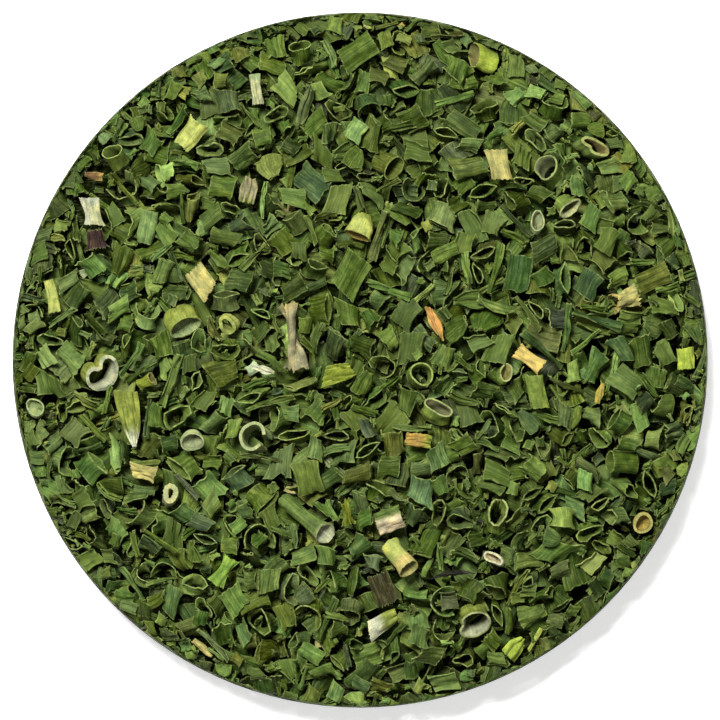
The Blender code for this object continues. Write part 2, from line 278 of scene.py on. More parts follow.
def bent(surface, leaf):
    """The surface twisted about its length and bent along it."""
    x, y, z = surface[..., 0], surface[..., 1], surface[..., 2]
    turn = math.radians(leaf.twist) * x / leaf.length
    y, z = y * np.cos(turn) - z * np.sin(turn), y * np.sin(turn) + z * np.cos(turn)
    if abs(leaf.bend) > 1.0:
        radius = leaf.length / math.radians(leaf.bend)
        angle = x / radius
        x, z = (radius + z) * np.sin(angle), (radius + z) * np.cos(angle) - radius
    return np.stack((x, y, z), axis=-1)


def surface_normals(surface, closed):
    """Unit normals of a surface of rows x columns x 3, which is joined round where it is closed."""
    along = np.gradient(surface, axis=0)
    if closed:
        around = (np.roll(surface, -1, axis=1) - np.roll(surface, 1, axis=1)) / 2
    else:
        around = np.gradient(surface, axis=1)
    normal = np.cross(along, around)
    return normal / np.maximum(np.linalg.norm(normal, axis=-1, keepdims=True), 1e-9)


def leaf_mesh(name, leaf, rows, columns, chance, rim=1.0):
    """A slice as a closed mesh with a wall, in metres, with what its finish reads as attributes.

    grain is the place on the flat leaf in mm, lining is 1 on the inner face, and cut is 1 at cut ends, a pale
    mark that is partly painted highlight; along the side edges of an open slice it is less, and only painted
    highlight.
    """
    surface, grain = leaf_surface(leaf, rows, columns, chance)
    normal = surface_normals(surface, leaf.closed)
    high, wide = surface.shape[:2]
    sheets = np.concatenate([(surface + normal * leaf.wall * side).reshape(-1, 3) for side in (0.5, -0.5)])
    ids = np.arange(high * wide).reshape(high, wide)
    joined = np.hstack((ids, ids[:, :1])) if leaf.closed else ids
    corners = joined[:-1, :-1], joined[1:, :-1], joined[1:, 1:], joined[:-1, 1:]
    quads = np.stack(corners, axis=-1).reshape(-1, 4)
    loop = [joined[0, ::-1], joined[-1, :]]
    if not leaf.closed:
        loop += [joined[:, 0], joined[::-1, -1]]
    under = high * wide
    rims = [np.stack((row[:-1] + under, row[1:] + under, row[1:], row[:-1]), axis=-1) for row in loop]
    faces = np.concatenate((quads, quads[:, ::-1] + under, *rims))
    mesh = bpy.data.meshes.new(name)
    mesh.from_pydata((sheets * MM).tolist(), [], faces.tolist())
    cut = np.zeros((high, wide))
    # Painted highlight along the side edges of an open slice, where light would catch the wall.
    if not leaf.closed:
        cut[:, 0] = cut[:, -1] = SIDE_EDGE_HIGHLIGHT * rim
    # Cut ends take the pale mark in full: paler cut tissue, partly painted highlight where light would catch
    # the cut wall.
    cut[0, :] = cut[-1, :] = rim
    lining = np.repeat((0.0, 1.0), high * wide)
    add_attribute(mesh, "grain", "FLOAT_VECTOR", np.concatenate([grain.reshape(-1, 3)] * 2))
    add_attribute(mesh, "cut", "FLOAT", np.concatenate([cut.ravel()] * 2))
    add_attribute(mesh, "lining", "FLOAT", lining)
    mesh.shade_smooth()
    mesh.set_sharp_from_angle(angle=SHARP_ANGLE)
    return mesh


def add_attribute(mesh, name, kind, values):
    """Store one value for each vertex under a name."""
    field = {"FLOAT": "value", "INT": "value", "FLOAT_VECTOR": "vector", "FLOAT_COLOR": "color"}[kind]
    kept = mesh.attributes.new(name, kind, "POINT")
    kept.data.foreach_set(field, np.asarray(values).ravel())


# ---------------------------------------------------------------- laying the slices

# The map's cell and half width, and the heap's outline: how square its shoulder is, how far it lies
# below the bed's top and slices end below the heap's, and how far apart its hollows are. All in mm.
CELL = 0.25
MAP_HALF = 54.0
ROUNDING = 4.5
BED_SINK = 0.2
TOP_GAP = 0.15
MOULD_SHOULDER = 46.6
HOLLOW_SPACING = 5.0

# How many spots are tried for a slice, how often in each and within what reach (mm), the steepest
# slope that it lies along, and how much more a gap near the rim calls for one.
LAY_SPOTS = 4
LAY_TRIES = 6
SPOT_SPREAD = 1.0
STEEPEST_BED = 0.7
RIM_START = 45.5
RIM_CARE = 3.0

# How slices come to rest: angles in degrees, and the shares that lie upside down or on an edge.
LYING_TILT = 15
STANDING_PITCH = (32, 82)
UPSIDE_DOWN = 0.4
ON_EDGE = 0.10
EDGE_ROLL = (40, 80)

# Rows and columns of the meshes of a slice, and how strong a coarse one's pale mark at its cut ends and
# sides is, which is partly painted highlight.
WIDE_LEAF = 4
WIDE_GRID = 6, 12
NARROW_GRID = 6, 10
MIDDLING_GRID = 4, 8
COARSE_GRID = 3, 6
COARSE_RIM = 0.5

# Each layer of slices: how many are tried, how far they may reach over the heap's outline and from its
# axis (mm), how many tubes stand on end, how deep a gap calls for a slice (mm), and which kinds, sizes
# and number of them it takes where it doesn't take them all.
LAYERS = {
    "floor": dict(count=1700, top=1.5, outer=48.8, stand=0.0, gap=0.5),
    "body": dict(count=8500, top=-2.8, outer=48.8, stand=0.2, gap=0.4),
    "mouths": dict(count=3000, top=0.1, outer=47.0, stand=1.0, gap=1.5, kinds=STANDING_KINDS, most=170),
    "surface": dict(count=8500, top=0.0, outer=48.8, stand=0.3, gap=1.2),
    "filling": dict(count=1700, top=-0.3, outer=48.8, stand=0.0, gap=3.1, kinds=FLAT_KINDS,
                    size=(0.7, 1.05)),
    "rim": dict(count=3000, top=0.4, outer=49.2, stand=0.0, gap=2.6, kinds=FLAT_KINDS,
                size=(0.5, 0.9), inner=45.0),
}
USUAL_SIZE = (0.9, 1.3)

# A gap draws slices by a power of its depth, and the depths are weighed afresh every so many slices.
LACK_POWER = 1.5
REWEIGH_EVERY = 50

# How many cells of a slice show before it takes only a common tint, is made finely and counts as one
# on top; and how deep (mm) one that doesn't show is left out, but not within the band at the edge.
LARGEST_ACCENT = 60
FINE_FROM = 20
TOP_FROM = 12
BURIED_DEEP = 3.0
EDGE_BAND = 2.5

# The imported middle, in mm: its radius, underside and depth below the slices, the wall near its rim,
# the thin lip that stands in for slices at the ground, the gap to slices and the lumps of its top.
# The middle and its lip keep only a small share of the green tint: painted shade, which shows as deep
# shadow in the gaps between slices and at the rim.
CORE_RADIUS = 47.0
CORE_BOTTOM = 1.6
CORE_DEPTH = 5.8
RIM_DEPTH = 1.9
RIM_FROM = 45.5
LIP_RADIUS = 47.96
LIP_TOP = 1.0
LIP_BOTTOM = 0.25
LIP_INNER = 46.4
CORE_GAP = 0.3
CORE_LUMPS = 0.35
CORE_RINGS, CORE_SIDES = 40, 120
CORE_PAINTED_SHADE = 0.12
CORE_SEED = 3


def bed_height(radius):
    """Height of the heap's smooth outline at a distance from its axis, in mm."""
    share = np.clip(radius / OUTLINE_RADIUS, 0.0, 1.0)
    return (BED_TOP - BED_SINK) * (1 - share**ROUNDING) ** (1 / ROUNDING)


class HeapMap:
    """Heights of what already lies in the heap, on a square map seen from above."""

    def __init__(self):
        places = np.arange(-MAP_HALF, MAP_HALF, CELL) + CELL / 2
        self.x, self.y = np.meshgrid(places, places)
        self.radius = np.hypot(self.x, self.y)
        self.height = np.zeros_like(self.radius)
        self.ceiling = np.full_like(self.radius, np.inf)
        self.owner = np.full(self.radius.shape, -1)
        self.kept_clear = np.zeros(self.radius.shape, bool)

    def window(self, print_, x, y):
        """The part of the map under a print whose middle is at x, y."""
        column = int(round((x + MAP_HALF) / CELL)) + print_["column"]
        row = int(round((y + MAP_HALF) / CELL)) + print_["row"]
        high, wide = print_["low"].shape
        return slice(row, row + high), slice(column, column + wide)

    def rest(self, print_, x, y, roof):
        """Height at which a print comes to rest at x, y, and how far it then reaches over the roof."""
        window = self.window(print_, x, y)
        height = self.height[window]
        if height.shape != print_["low"].shape:
            return None
        base = (height - print_["low"])[print_["solid"]].max()
        over = (base + print_["high"] - np.minimum(roof[window], self.ceiling[window]))[print_["solid"]]
        return base, over.max(), np.count_nonzero(self.kept_clear[window] & print_["solid"])

    def lay(self, print_, x, y, base, owner):
        """Raise the map to a print that rests at x, y, and note whose it is."""
        window = self.window(print_, x, y)
        top = np.where(print_["solid"], base + print_["high"], -np.inf)
        higher = top > self.height[window]
        self.height[window] = np.where(higher, top, self.height[window])
        self.owner[window] = np.where(higher, owner, self.owner[window])


def footprint(points):
    """Lowest and highest point of a slice over each cell of the map, relative to its middle."""
    column = np.floor(points[:, 0] / CELL).astype(int)
    row = np.floor(points[:, 1] / CELL).astype(int)
    first_column, first_row = column.min(), row.min()
    shape = (row.max() - first_row + 1, column.max() - first_column + 1)
    place = (row - first_row) * shape[1] + column - first_column
    low = np.full(shape[0] * shape[1], np.inf)
    high = np.full(shape[0] * shape[1], -np.inf)
    np.minimum.at(low, place, points[:, 2] - WALL / 2)
    np.maximum.at(high, place, points[:, 2] + WALL / 2)
    low, high = low.reshape(shape), high.reshape(shape)
    solid = np.isfinite(low)
    return dict(column=first_column, row=first_row, low=low, high=high, solid=solid)


def dense_points(surface, closed):
    """Points close enough together on a slice that none of the map's cells is missed."""
    if closed:
        surface = np.concatenate((surface, surface[:, :1]), axis=1)
    for axis in (0, 1):
        for _ in range(2):
            middle = (np.take(surface, range(1, surface.shape[axis]), axis)
                      + np.take(surface, range(surface.shape[axis] - 1), axis)) / 2
            count = surface.shape[axis]
            order = np.argsort(np.concatenate((np.arange(count), np.arange(count - 1) + 0.5)))
            surface = np.take(np.concatenate((surface, middle), axis), order, axis)
    return surface.reshape(-1, 3)


class Library:
    """The shapes of slice that the heap is made of, each in a fine, a middling and a coarse mesh."""

    def __init__(self, seed):
        chance = random.Random(seed)
        self.kinds = [kind for kind in SLICE_KINDS for _ in range(SHAPES_OF_EACH)]
        self.leaves = [random_slice(kind, chance) for kind in self.kinds]
        self.weights = [SLICE_KINDS[kind]["share"] for kind in self.kinds]
        self.clouds = []
        self.collection = bpy.data.collections.new("slice_shapes")
        fine, middling, coarse = [], [], []
        for number, leaf in enumerate(self.leaves):
            start = chance.random()
            size = WIDE_GRID if leaf.closed or leaf.width > WIDE_LEAF else NARROW_GRID
            surface = leaf_surface(leaf, *size, random.Random(start))[0]
            self.clouds.append(dense_points(surface, leaf.closed))
            fine.append(leaf_mesh(f"slice_{number:03d}", leaf, *size, random.Random(start)))
            middling.append(leaf_mesh(f"slice_m{number:03d}", leaf, *MIDDLING_GRID, random.Random(start)))
            coarse.append(leaf_mesh(f"slice_s{number:03d}", leaf, *COARSE_GRID, random.Random(start),
                                    rim=COARSE_RIM))
        for order, mesh in enumerate(fine + middling + coarse):
            self.collection.objects.link(bpy.data.objects.new(f"shape_{order:04d}", mesh))
        self.count = len(self.leaves)

    def remove(self):
        """Delete the shapes once every piece is made of its own mesh."""
        for thing in list(self.collection.objects):
            mesh = thing.data
            bpy.data.objects.remove(thing)
            bpy.data.meshes.remove(mesh)
        bpy.data.collections.remove(self.collection)


def random_turn(kind, stand, chance):
    """How a slice is turned as it comes to rest: most lie on a face, some tubes stand on an end."""
    yaw = chance.uniform(0, 360)
    pitch, roll = chance.gauss(0, LYING_TILT), chance.gauss(0, LYING_TILT)
    if kind in STANDING_KINDS and chance.random() < stand:
        pitch = -chance.uniform(*STANDING_PITCH)
        roll = chance.uniform(0, 360)
    elif kind in CLOSED_KINDS:
        roll += chance.choice((0, 180)) if kind == "flat_tube" else chance.uniform(0, 360)
    elif kind == "trough":
        roll += chance.choice((0, 0, 180, 90, -90))
    elif kind == "curl":
        roll = chance.uniform(0, 360)
    else:
        roll += 180 * (chance.random() < UPSIDE_DOWN)
        if chance.random() < ON_EDGE:
            roll += chance.uniform(*EDGE_ROLL)
    return Euler([math.radians(angle) for angle in (roll, pitch, yaw)], "XYZ")


def soft_hollows(shape, seed):
    """A map from -1 to 1 that rises and falls softly, for hollows and humps in the heap's top."""
    chance = np.random.default_rng(seed)
    count = int(2 * MAP_HALF / HOLLOW_SPACING) + 2
    knots = chance.uniform(-1, 1, (count, count))
    places = np.arange(shape[0]) * CELL / HOLLOW_SPACING
    first = places.astype(int)
    share = places - first
    share = share * share * (3 - 2 * share)
    rows = knots[first] * (1 - share)[:, None] + knots[first + 1] * share[:, None]
    return rows[:, first] * (1 - share) + rows[:, first + 1] * share


def softened(heights, reach=5):
    """Heights averaged over a square of cells, twice."""
    for _ in range(2):
        for axis in (0, 1):
            padded = np.concatenate([np.take(heights, [0] * (reach + 1), axis), heights,
                                     np.take(heights, [-1] * reach, axis)], axis)
            total = np.cumsum(padded, axis=axis)
            count = heights.shape[axis]
            heights = (np.take(total, range(2 * reach + 1, 2 * reach + 1 + count), axis)
                       - np.take(total, range(count), axis)) / (2 * reach + 1)
    return heights


def roof_of(heap, layer, settings):
    """How high a layer's slices may reach over each cell."""
    limits = LAYERS[layer]
    if layer == "floor":
        return np.full_like(heap.radius, limits["top"])
    hollows = soft_hollows(heap.radius.shape, settings.seed) * settings.unevenness
    smooth = bed_height(np.minimum(heap.radius, MOULD_SHOULDER)) + settings.proud
    return np.minimum(smooth + hollows, HEAP_TOP - TOP_GAP) + limits["top"]


def lay_layer(heap, library, layer, laid, seed, settings):
    """Lay slices one after another, each at the lowest of a few places, until the layer is full."""
    limits = LAYERS[layer]
    chance = random.Random(seed)
    roof = roof_of(heap, layer, settings)
    room = (heap.radius < limits["outer"]) & (heap.radius > limits.get("inner", 0.0))
    kinds = limits.get("kinds", SLICE_KINDS)
    shares = [share * (kind in kinds) for kind, share in zip(library.kinds, library.weights)]
    start = len(laid)
    for number in range(limits["count"]):
        if len(laid) - start >= limits.get("most", limits["count"]):
            break
        if number % REWEIGH_EVERY == 0:
            lack = np.clip(roof - heap.height - limits["gap"], 0, None)
            lack = np.where(room & ~heap.kept_clear, lack, 0)
            lack = (lack * np.where(heap.radius > RIM_START, RIM_CARE, 1.0)).ravel() ** LACK_POWER
            if lack.sum() <= 0:
                break
            weights = np.cumsum(lack) / lack.sum()
            slope_y, slope_x = np.gradient(softened(heap.height), CELL)
        shape = chance.choices(range(library.count), shares)[0]
        turn = random_turn(library.kinds[shape], limits["stand"], chance)
        size = chance.uniform(*limits.get("size", USUAL_SIZE))
        best = None
        for _ in range(LAY_SPOTS):
            cell = min(int(np.searchsorted(weights, chance.random())), heap.x.size - 1)
            lean = np.clip((slope_x.flat[cell], slope_y.flat[cell]), -STEEPEST_BED, STEEPEST_BED)
            upward = Vector((-lean[0], -lean[1], 1.0))
            tipped = Vector((0, 0, 1)).rotation_difference(upward).to_matrix() @ turn.to_matrix()
            cloud = library.clouds[shape] @ np.array(tipped).T * size
            print_ = footprint(cloud)
            for _ in range(LAY_TRIES):
                x = heap.x.flat[cell] + chance.uniform(-SPOT_SPREAD, SPOT_SPREAD)
                y = heap.y.flat[cell] + chance.uniform(-SPOT_SPREAD, SPOT_SPREAD)
                found = heap.rest(print_, x, y, roof)
                if found is None or found[1] > 0 or found[2] > settings.overlap_cells:
                    continue
                if best is None or found[1] < best["over"]:
                    reach = float(np.hypot(cloud[:, 0] + x, cloud[:, 1] + y).max())
                    best = dict(over=found[1], place=(x, y, found[0]), turn=tipped.to_euler("XYZ"),
                                print_=print_, reach=reach)
        if best:
            heap.lay(best["print_"], *best["place"], len(laid))
            laid.append(dict(shape=shape, turn=best["turn"], size=size, place=best["place"],
                             layer=layer, reach=best["reach"]))


# ---------------------------------------------------------------- setting the slices out

# How suddenly a slice bends as it nears the outline: at high powers it runs straight, then turns.
SQUEEZE_POWER = 5.0


def join(tree, source, output, target, socket):
    """Link a node's named output to another node's named input."""
    tree.links.new(source.outputs[output], target.inputs[socket])


def placed(name, data):
    """An object of that name and data, in the scene."""
    piece = bpy.data.objects.new(name, data)
    bpy.context.scene.collection.objects.link(piece)
    return piece


def number_node(tree, operation, first, second=None, third=None):
    """A Math node. Each input is a number or the socket that feeds it; the node's socket is returned."""
    made = tree.nodes.new("ShaderNodeMath")
    made.operation = operation
    for place, value in enumerate((first, second, third)):
        if isinstance(value, (int, float)):
            made.inputs[place].default_value = value
        elif value is not None:
            tree.links.new(value, made.inputs[place])
    return made.outputs[0]


def vector_node(tree, operation, first, second):
    """A Vector Math node on a socket. The second is a socket too, SCALE's factor, or else a vector."""
    made = tree.nodes.new("ShaderNodeVectorMath")
    made.operation = operation
    tree.links.new(first, made.inputs[0])
    socket = made.inputs["Scale"] if operation == "SCALE" else made.inputs[1]
    if isinstance(second, tuple):
        socket.default_value = second
    else:
        tree.links.new(second, socket)
    return made.outputs[0]


def named_value(tree, name, kind):
    """The socket that gives each point's stored value of that name."""
    made = tree.nodes.new("GeometryNodeInputNamedAttribute")
    made.data_type = kind
    made.inputs["Name"].default_value = name
    return made.outputs["Attribute"]


def scatter_tree():
    """Sets a slice on every point, wrinkles each one its own way and presses them inside the outline."""
    tree = bpy.data.node_groups.new("lay_slices", "GeometryNodeTree")
    sockets = tree.interface
    sockets.new_socket("Geometry", in_out="INPUT", socket_type="NodeSocketGeometry")
    sockets.new_socket("Slice Shapes", in_out="INPUT", socket_type="NodeSocketCollection")
    sockets.new_socket("Finish", in_out="INPUT", socket_type="NodeSocketMaterial")
    for name in ("Outline Radius", "Inward Lean", "Squeezed Band", "Wrinkle Depth", "Wrinkle Size"):
        sockets.new_socket(name, in_out="INPUT", socket_type="NodeSocketFloat")
    sockets.new_socket("Geometry", in_out="OUTPUT", socket_type="NodeSocketGeometry")
    given = tree.nodes.new("NodeGroupInput")
    result = tree.nodes.new("NodeGroupOutput")

    points = tree.nodes.new("GeometryNodeMeshToPoints")
    join(tree, given, "Geometry", points, "Mesh")
    shapes = tree.nodes.new("GeometryNodeCollectionInfo")
    shapes.inputs["Separate Children"].default_value = True
    shapes.inputs["Reset Children"].default_value = True
    join(tree, given, "Slice Shapes", shapes, "Collection")
    laid = tree.nodes.new("GeometryNodeInstanceOnPoints")
    laid.inputs["Pick Instance"].default_value = True
    join(tree, points, "Points", laid, "Points")
    join(tree, shapes, "Instances", laid, "Instance")
    tree.links.new(named_value(tree, "shape", "INT"), laid.inputs["Instance Index"])
    turned = tree.nodes.new("FunctionNodeEulerToRotation")
    tree.links.new(named_value(tree, "turn", "FLOAT_VECTOR"), turned.inputs["Euler"])
    join(tree, turned, "Rotation", laid, "Rotation")
    tree.links.new(named_value(tree, "size", "FLOAT"), laid.inputs["Scale"])
    real = tree.nodes.new("GeometryNodeRealizeInstances")
    join(tree, laid, "Instances", real, "Geometry")

    wrinkled = tree.nodes.new("GeometryNodeSetPosition")
    join(tree, real, "Geometry", wrinkled, "Geometry")
    tree.links.new(wrinkle_offset(tree, given), wrinkled.inputs["Offset"])
    pressed = tree.nodes.new("GeometryNodeSetPosition")
    join(tree, wrinkled, "Geometry", pressed, "Geometry")
    tree.links.new(pressed_place(tree, given), pressed.inputs["Position"])
    finished = tree.nodes.new("GeometryNodeSetMaterial")
    join(tree, pressed, "Geometry", finished, "Geometry")
    join(tree, given, "Finish", finished, "Material")
    join(tree, finished, "Geometry", result, "Geometry")
    return tree


def wrinkle_offset(tree, given):
    """A soft push that differs from place to place, so that no two slices keep the same shape."""
    place = tree.nodes.new("GeometryNodeInputPosition").outputs[0]
    closeness = number_node(tree, "DIVIDE", 1.0, given.outputs["Wrinkle Size"])
    noise = tree.nodes.new("ShaderNodeTexNoise")
    noise.inputs["Scale"].default_value = 1.0
    noise.inputs["Detail"].default_value = 1.0
    tree.links.new(vector_node(tree, "SCALE", place, closeness), noise.inputs["Vector"])
    centred = vector_node(tree, "SUBTRACT", noise.outputs["Color"], (0.5, 0.5, 0.5))
    return vector_node(tree, "SCALE", centred, given.outputs["Wrinkle Depth"])


def pressed_place(tree, given):
    """Where a point goes as its slice bends in against the outline and down flat on the ground."""
    band = given.outputs["Squeezed Band"]
    place = tree.nodes.new("GeometryNodeInputPosition")
    split = tree.nodes.new("ShaderNodeSeparateXYZ")
    tree.links.new(place.outputs[0], split.inputs[0])
    x, y, z = split.outputs
    inset = number_node(tree, "MULTIPLY", z, given.outputs["Inward Lean"])
    radius = number_node(tree, "SUBTRACT", given.outputs["Outline Radius"], inset)
    reach = number_node(tree, "SQRT", number_node(
        tree, "MULTIPLY_ADD", x, x, number_node(tree, "MULTIPLY", y, y)))
    inner = number_node(tree, "SUBTRACT", radius, band)
    beyond = number_node(tree, "MAXIMUM", number_node(tree, "SUBTRACT", reach, inner), 0.0)
    share = number_node(tree, "DIVIDE", beyond, band)
    eased = number_node(tree, "POWER", number_node(
        tree, "ADD", 1.0, number_node(tree, "POWER", share, SQUEEZE_POWER)), 1 / SQUEEZE_POWER)
    pressed = number_node(tree, "ADD", number_node(tree, "MINIMUM", reach, inner),
                          number_node(tree, "DIVIDE", beyond, eased))
    factor = number_node(tree, "DIVIDE", pressed, number_node(tree, "MAXIMUM", reach, 1e-6))
    merged = tree.nodes.new("ShaderNodeCombineXYZ")
    tree.links.new(number_node(tree, "MULTIPLY", x, factor), merged.inputs[0])
    tree.links.new(number_node(tree, "MULTIPLY", y, factor), merged.inputs[1])
    tree.links.new(number_node(tree, "MAXIMUM", z, 0.0), merged.inputs[2])
    return merged.outputs[0]


def set_out(name, rows, library, tree, material, settings):
    """One piece of many slices: a point for each, the node tree, and the plain mesh that comes of it."""
    points = bpy.data.meshes.new(name + "_points")
    points.from_pydata([tuple(value * MM for value in row["place"]) for row in rows], [], [])
    add_attribute(points, "turn", "FLOAT_VECTOR", [tuple(row["turn"]) for row in rows])
    add_attribute(points, "size", "FLOAT", [row["size"] for row in rows])
    add_attribute(points, "shape", "INT", [row["shape"] + row["detail"] * library.count for row in rows])
    add_attribute(points, "tint", "FLOAT_COLOR", [row["tint"] for row in rows])
    add_attribute(points, "lot", "FLOAT", [row["lot"] for row in rows])
    piece = placed(name, points)
    nodes = piece.modifiers.new("lay_slices", "NODES")
    nodes.node_group = tree
    values = {
        "Slice Shapes": library.collection,
        "Finish": material,
        "Outline Radius": OUTLINE_RADIUS * MM,
        "Inward Lean": settings.inward_lean,
        "Squeezed Band": settings.squeezed_band,
        "Wrinkle Depth": settings.wrinkle_depth,
        "Wrinkle Size": settings.wrinkle_size,
    }
    for socket in tree.interface.items_tree:
        if socket.in_out == "INPUT" and socket.name in values:
            nodes[socket.identifier] = values[socket.name]
    bpy.context.view_layer.update()
    graph = bpy.context.evaluated_depsgraph_get()
    mesh = bpy.data.meshes.new_from_object(piece.evaluated_get(graph))
    piece.modifiers.clear()
    piece.data = mesh
    bpy.data.meshes.remove(points)
    for spent in ("turn", "size", "shape"):
        if spent in mesh.attributes:
            mesh.attributes.remove(mesh.attributes[spent])
    return piece


# ---------------------------------------------------------------- finishes

def shader_tree(name):
    """A new material, its node tree and its Principled BSDF."""
    material = bpy.data.materials.new(name)
    material.use_nodes = True
    return material, material.node_tree, material.node_tree.nodes["Principled BSDF"]


def noise_node(tree, place, scale, detail, stretch=(1.0, 1.0, 1.0)):
    """A noise over a place, drawn out along an axis by a small stretch on it."""
    mapping = tree.nodes.new("ShaderNodeMapping")
    mapping.inputs["Scale"].default_value = stretch
    tree.links.new(place, mapping.inputs["Vector"])
    noise = tree.nodes.new("ShaderNodeTexNoise")
    noise.inputs["Scale"].default_value = scale
    noise.inputs["Detail"].default_value = detail
    noise.inputs["Roughness"].default_value = NOISE_ROUGHNESS
    tree.links.new(mapping.outputs[0], noise.inputs["Vector"])
    return noise.outputs["Fac"]


def ranged(tree, value, low, high, to_low=0.0, to_high=1.0):
    """A Map Range node's result, which stays within its two limits."""
    made = tree.nodes.new("ShaderNodeMapRange")
    for socket, number in (("From Min", low), ("From Max", high), ("To Min", to_low), ("To Max", to_high)):
        made.inputs[socket].default_value = number
    tree.links.new(value, made.inputs["Value"])
    return made.outputs["Result"]


def mixed(tree, share, first, second, blend="MIX"):
    """A colour mix. The share and each colour is a value or the socket that feeds it."""
    made = tree.nodes.new("ShaderNodeMix")
    made.data_type = "RGBA"
    made.blend_type = blend
    for socket, value in ((made.inputs["Factor"], share), (made.inputs[6], first), (made.inputs[7], second)):
        if isinstance(value, (int, float)):
            socket.default_value = value
        elif isinstance(value, tuple):
            socket.default_value = (*value, 1.0)
        else:
            tree.links.new(value, socket)
    return made.outputs[2]


# Noises in the finish: scale, detail, and stretch where they run along the leaf.
NOISE_ROUGHNESS = 0.6
FIBRE = 4.6, 3.0, (0.04, 1.0, 1.0)
COARSE_FIBRE = 2.0, 2.0, (0.10, 1.0, 1.0)
PATCH = 0.8, 2.0
GRIT = 6.0, 3.0
FRINGE = 2.2, 2.0

# Where each range of noise or brightness starts and ends, and the values it is turned into.
GRIT_TO_GAIN = 0.25, 0.75, 0.7, 1.3
GRIT_TO_ROUGHNESS = 0.3, 0.7, 0.5, 0.72
PATCH_TO_YELLOW = 0.5, 0.75
# Lighter places go pale by this range: bleaching, and painted sheen of fine ribs.
GAIN_TO_BLEACH_AND_SHEEN = 1.0, 2.0, 0.0, 0.12
FRINGE_TO_CUT = 0.4, 0.6, 0.1, 1.0
TINT_TO_CONTRAST = 0.035, 0.13, 0.55, 0.2

COARSE_SHARE = 0.15
GRIT_SHARE = 0.3
FIBRE_GAIN = 6.5
PATCH_GAIN = 4.0
DARKEST_GAIN = 0.3
# The pale grey green that lighter places go to: bleaching, and painted sheen.
BLEACH_AND_SHEEN = (0.26, 0.28, 0.17)
YELLOWING = (1.16, 1.0, 0.78)
LINING_SHARE = 0.3
# How far the pale mark at cut ends and side edges goes to its colour; the mark is partly painted highlight.
CUT_AND_HIGHLIGHT_SHARE = 0.7
LOT_SPACING = 91.0
LEAF_PATCHES = 0.45
LEAF_SHEEN = 0.08

# A relief's strength and depth in metres.
LEAF_RELIEF = 0.8, 0.00013
PLAIN_RELIEF = 0.6, 0.00012

# Sheen, contrast and stretch of leaf matter that is no slice, and the dry stalk's tint.
CORE_FINISH = 0.0, 0.7, (1.0, 1.0, 1.0)
STALK_FINISH = 0.06, 0.6, (0.3, 2.0, 2.0)
STALK_TINT = (0.008, 0.008, 0.006)


def contrasted(tree, noise, contrast, gain):
    """A factor round 1 that follows a noise as strongly as a contrast times a gain."""
    return number_node(tree, "MULTIPLY_ADD", number_node(tree, "SUBTRACT", noise, 0.5),
                       number_node(tree, "MULTIPLY", contrast, gain), 1.0)


def leaf_grain_group():
    """The look that all dried leaf shares: lengthwise fibres, cloudy patches and fine grit over a tint, whose
    lightest places go towards a pale grey green that is bleaching and painted sheen.
    """
    tree = bpy.data.node_groups.new("leaf_grain", "ShaderNodeTree")
    sockets = tree.interface
    sockets.new_socket("Place", in_out="INPUT", socket_type="NodeSocketVector")
    sockets.new_socket("Tint", in_out="INPUT", socket_type="NodeSocketColor")
    for name, start in (("Fibre Contrast", 0.5), ("Patch Contrast", 0.4)):
        sockets.new_socket(name, in_out="INPUT", socket_type="NodeSocketFloat").default_value = start
    sockets.new_socket("Colour", in_out="OUTPUT", socket_type="NodeSocketColor")
    for name in ("Roughness", "Height", "Fibre"):
        sockets.new_socket(name, in_out="OUTPUT", socket_type="NodeSocketFloat")
    given = tree.nodes.new("NodeGroupInput")
    result = tree.nodes.new("NodeGroupOutput")
    place = given.outputs["Place"]
    fibre = noise_node(tree, place, *FIBRE)
    coarse_fibre = noise_node(tree, place, *COARSE_FIBRE)
    patch = noise_node(tree, place, *PATCH)
    grit = noise_node(tree, place, *GRIT)
    lines = number_node(tree, "MULTIPLY_ADD", coarse_fibre, COARSE_SHARE,
                        number_node(tree, "MULTIPLY", fibre, 1 - COARSE_SHARE))
    line_gain = contrasted(tree, lines, given.outputs["Fibre Contrast"], FIBRE_GAIN)
    patch_gain = contrasted(tree, patch, given.outputs["Patch Contrast"], PATCH_GAIN)
    grit_gain = ranged(tree, grit, *GRIT_TO_GAIN)
    gain = number_node(tree, "MULTIPLY", number_node(tree, "MULTIPLY", line_gain, patch_gain), grit_gain)
    gain = number_node(tree, "MAXIMUM", gain, DARKEST_GAIN)
    scaled = vector_node(tree, "SCALE", given.outputs["Tint"], gain)
    # Where fibres, patches and grit lighten the leaf it goes towards pale grey green: bleaching, and painted
    # sheen of fine ribs.
    bleached_and_sheened = mixed(tree, ranged(tree, gain, *GAIN_TO_BLEACH_AND_SHEEN), scaled, BLEACH_AND_SHEEN)
    yellowed = mixed(tree, 1.0, bleached_and_sheened, YELLOWING, "MULTIPLY")
    colour = mixed(tree, ranged(tree, patch, *PATCH_TO_YELLOW), bleached_and_sheened, yellowed)
    tree.links.new(colour, result.inputs["Colour"])
    tree.links.new(ranged(tree, grit, *GRIT_TO_ROUGHNESS), result.inputs["Roughness"])
    height = number_node(tree, "MULTIPLY_ADD", fibre, 1 - GRIT_SHARE,
                         number_node(tree, "MULTIPLY", grit, GRIT_SHARE))
    tree.links.new(height, result.inputs["Height"])
    tree.links.new(fibre, result.inputs["Fibre"])
    return tree


def attribute_node(tree, name):
    """The node that reads a stored value of the mesh."""
    made = tree.nodes.new("ShaderNodeAttribute")
    made.attribute_name = name
    return made


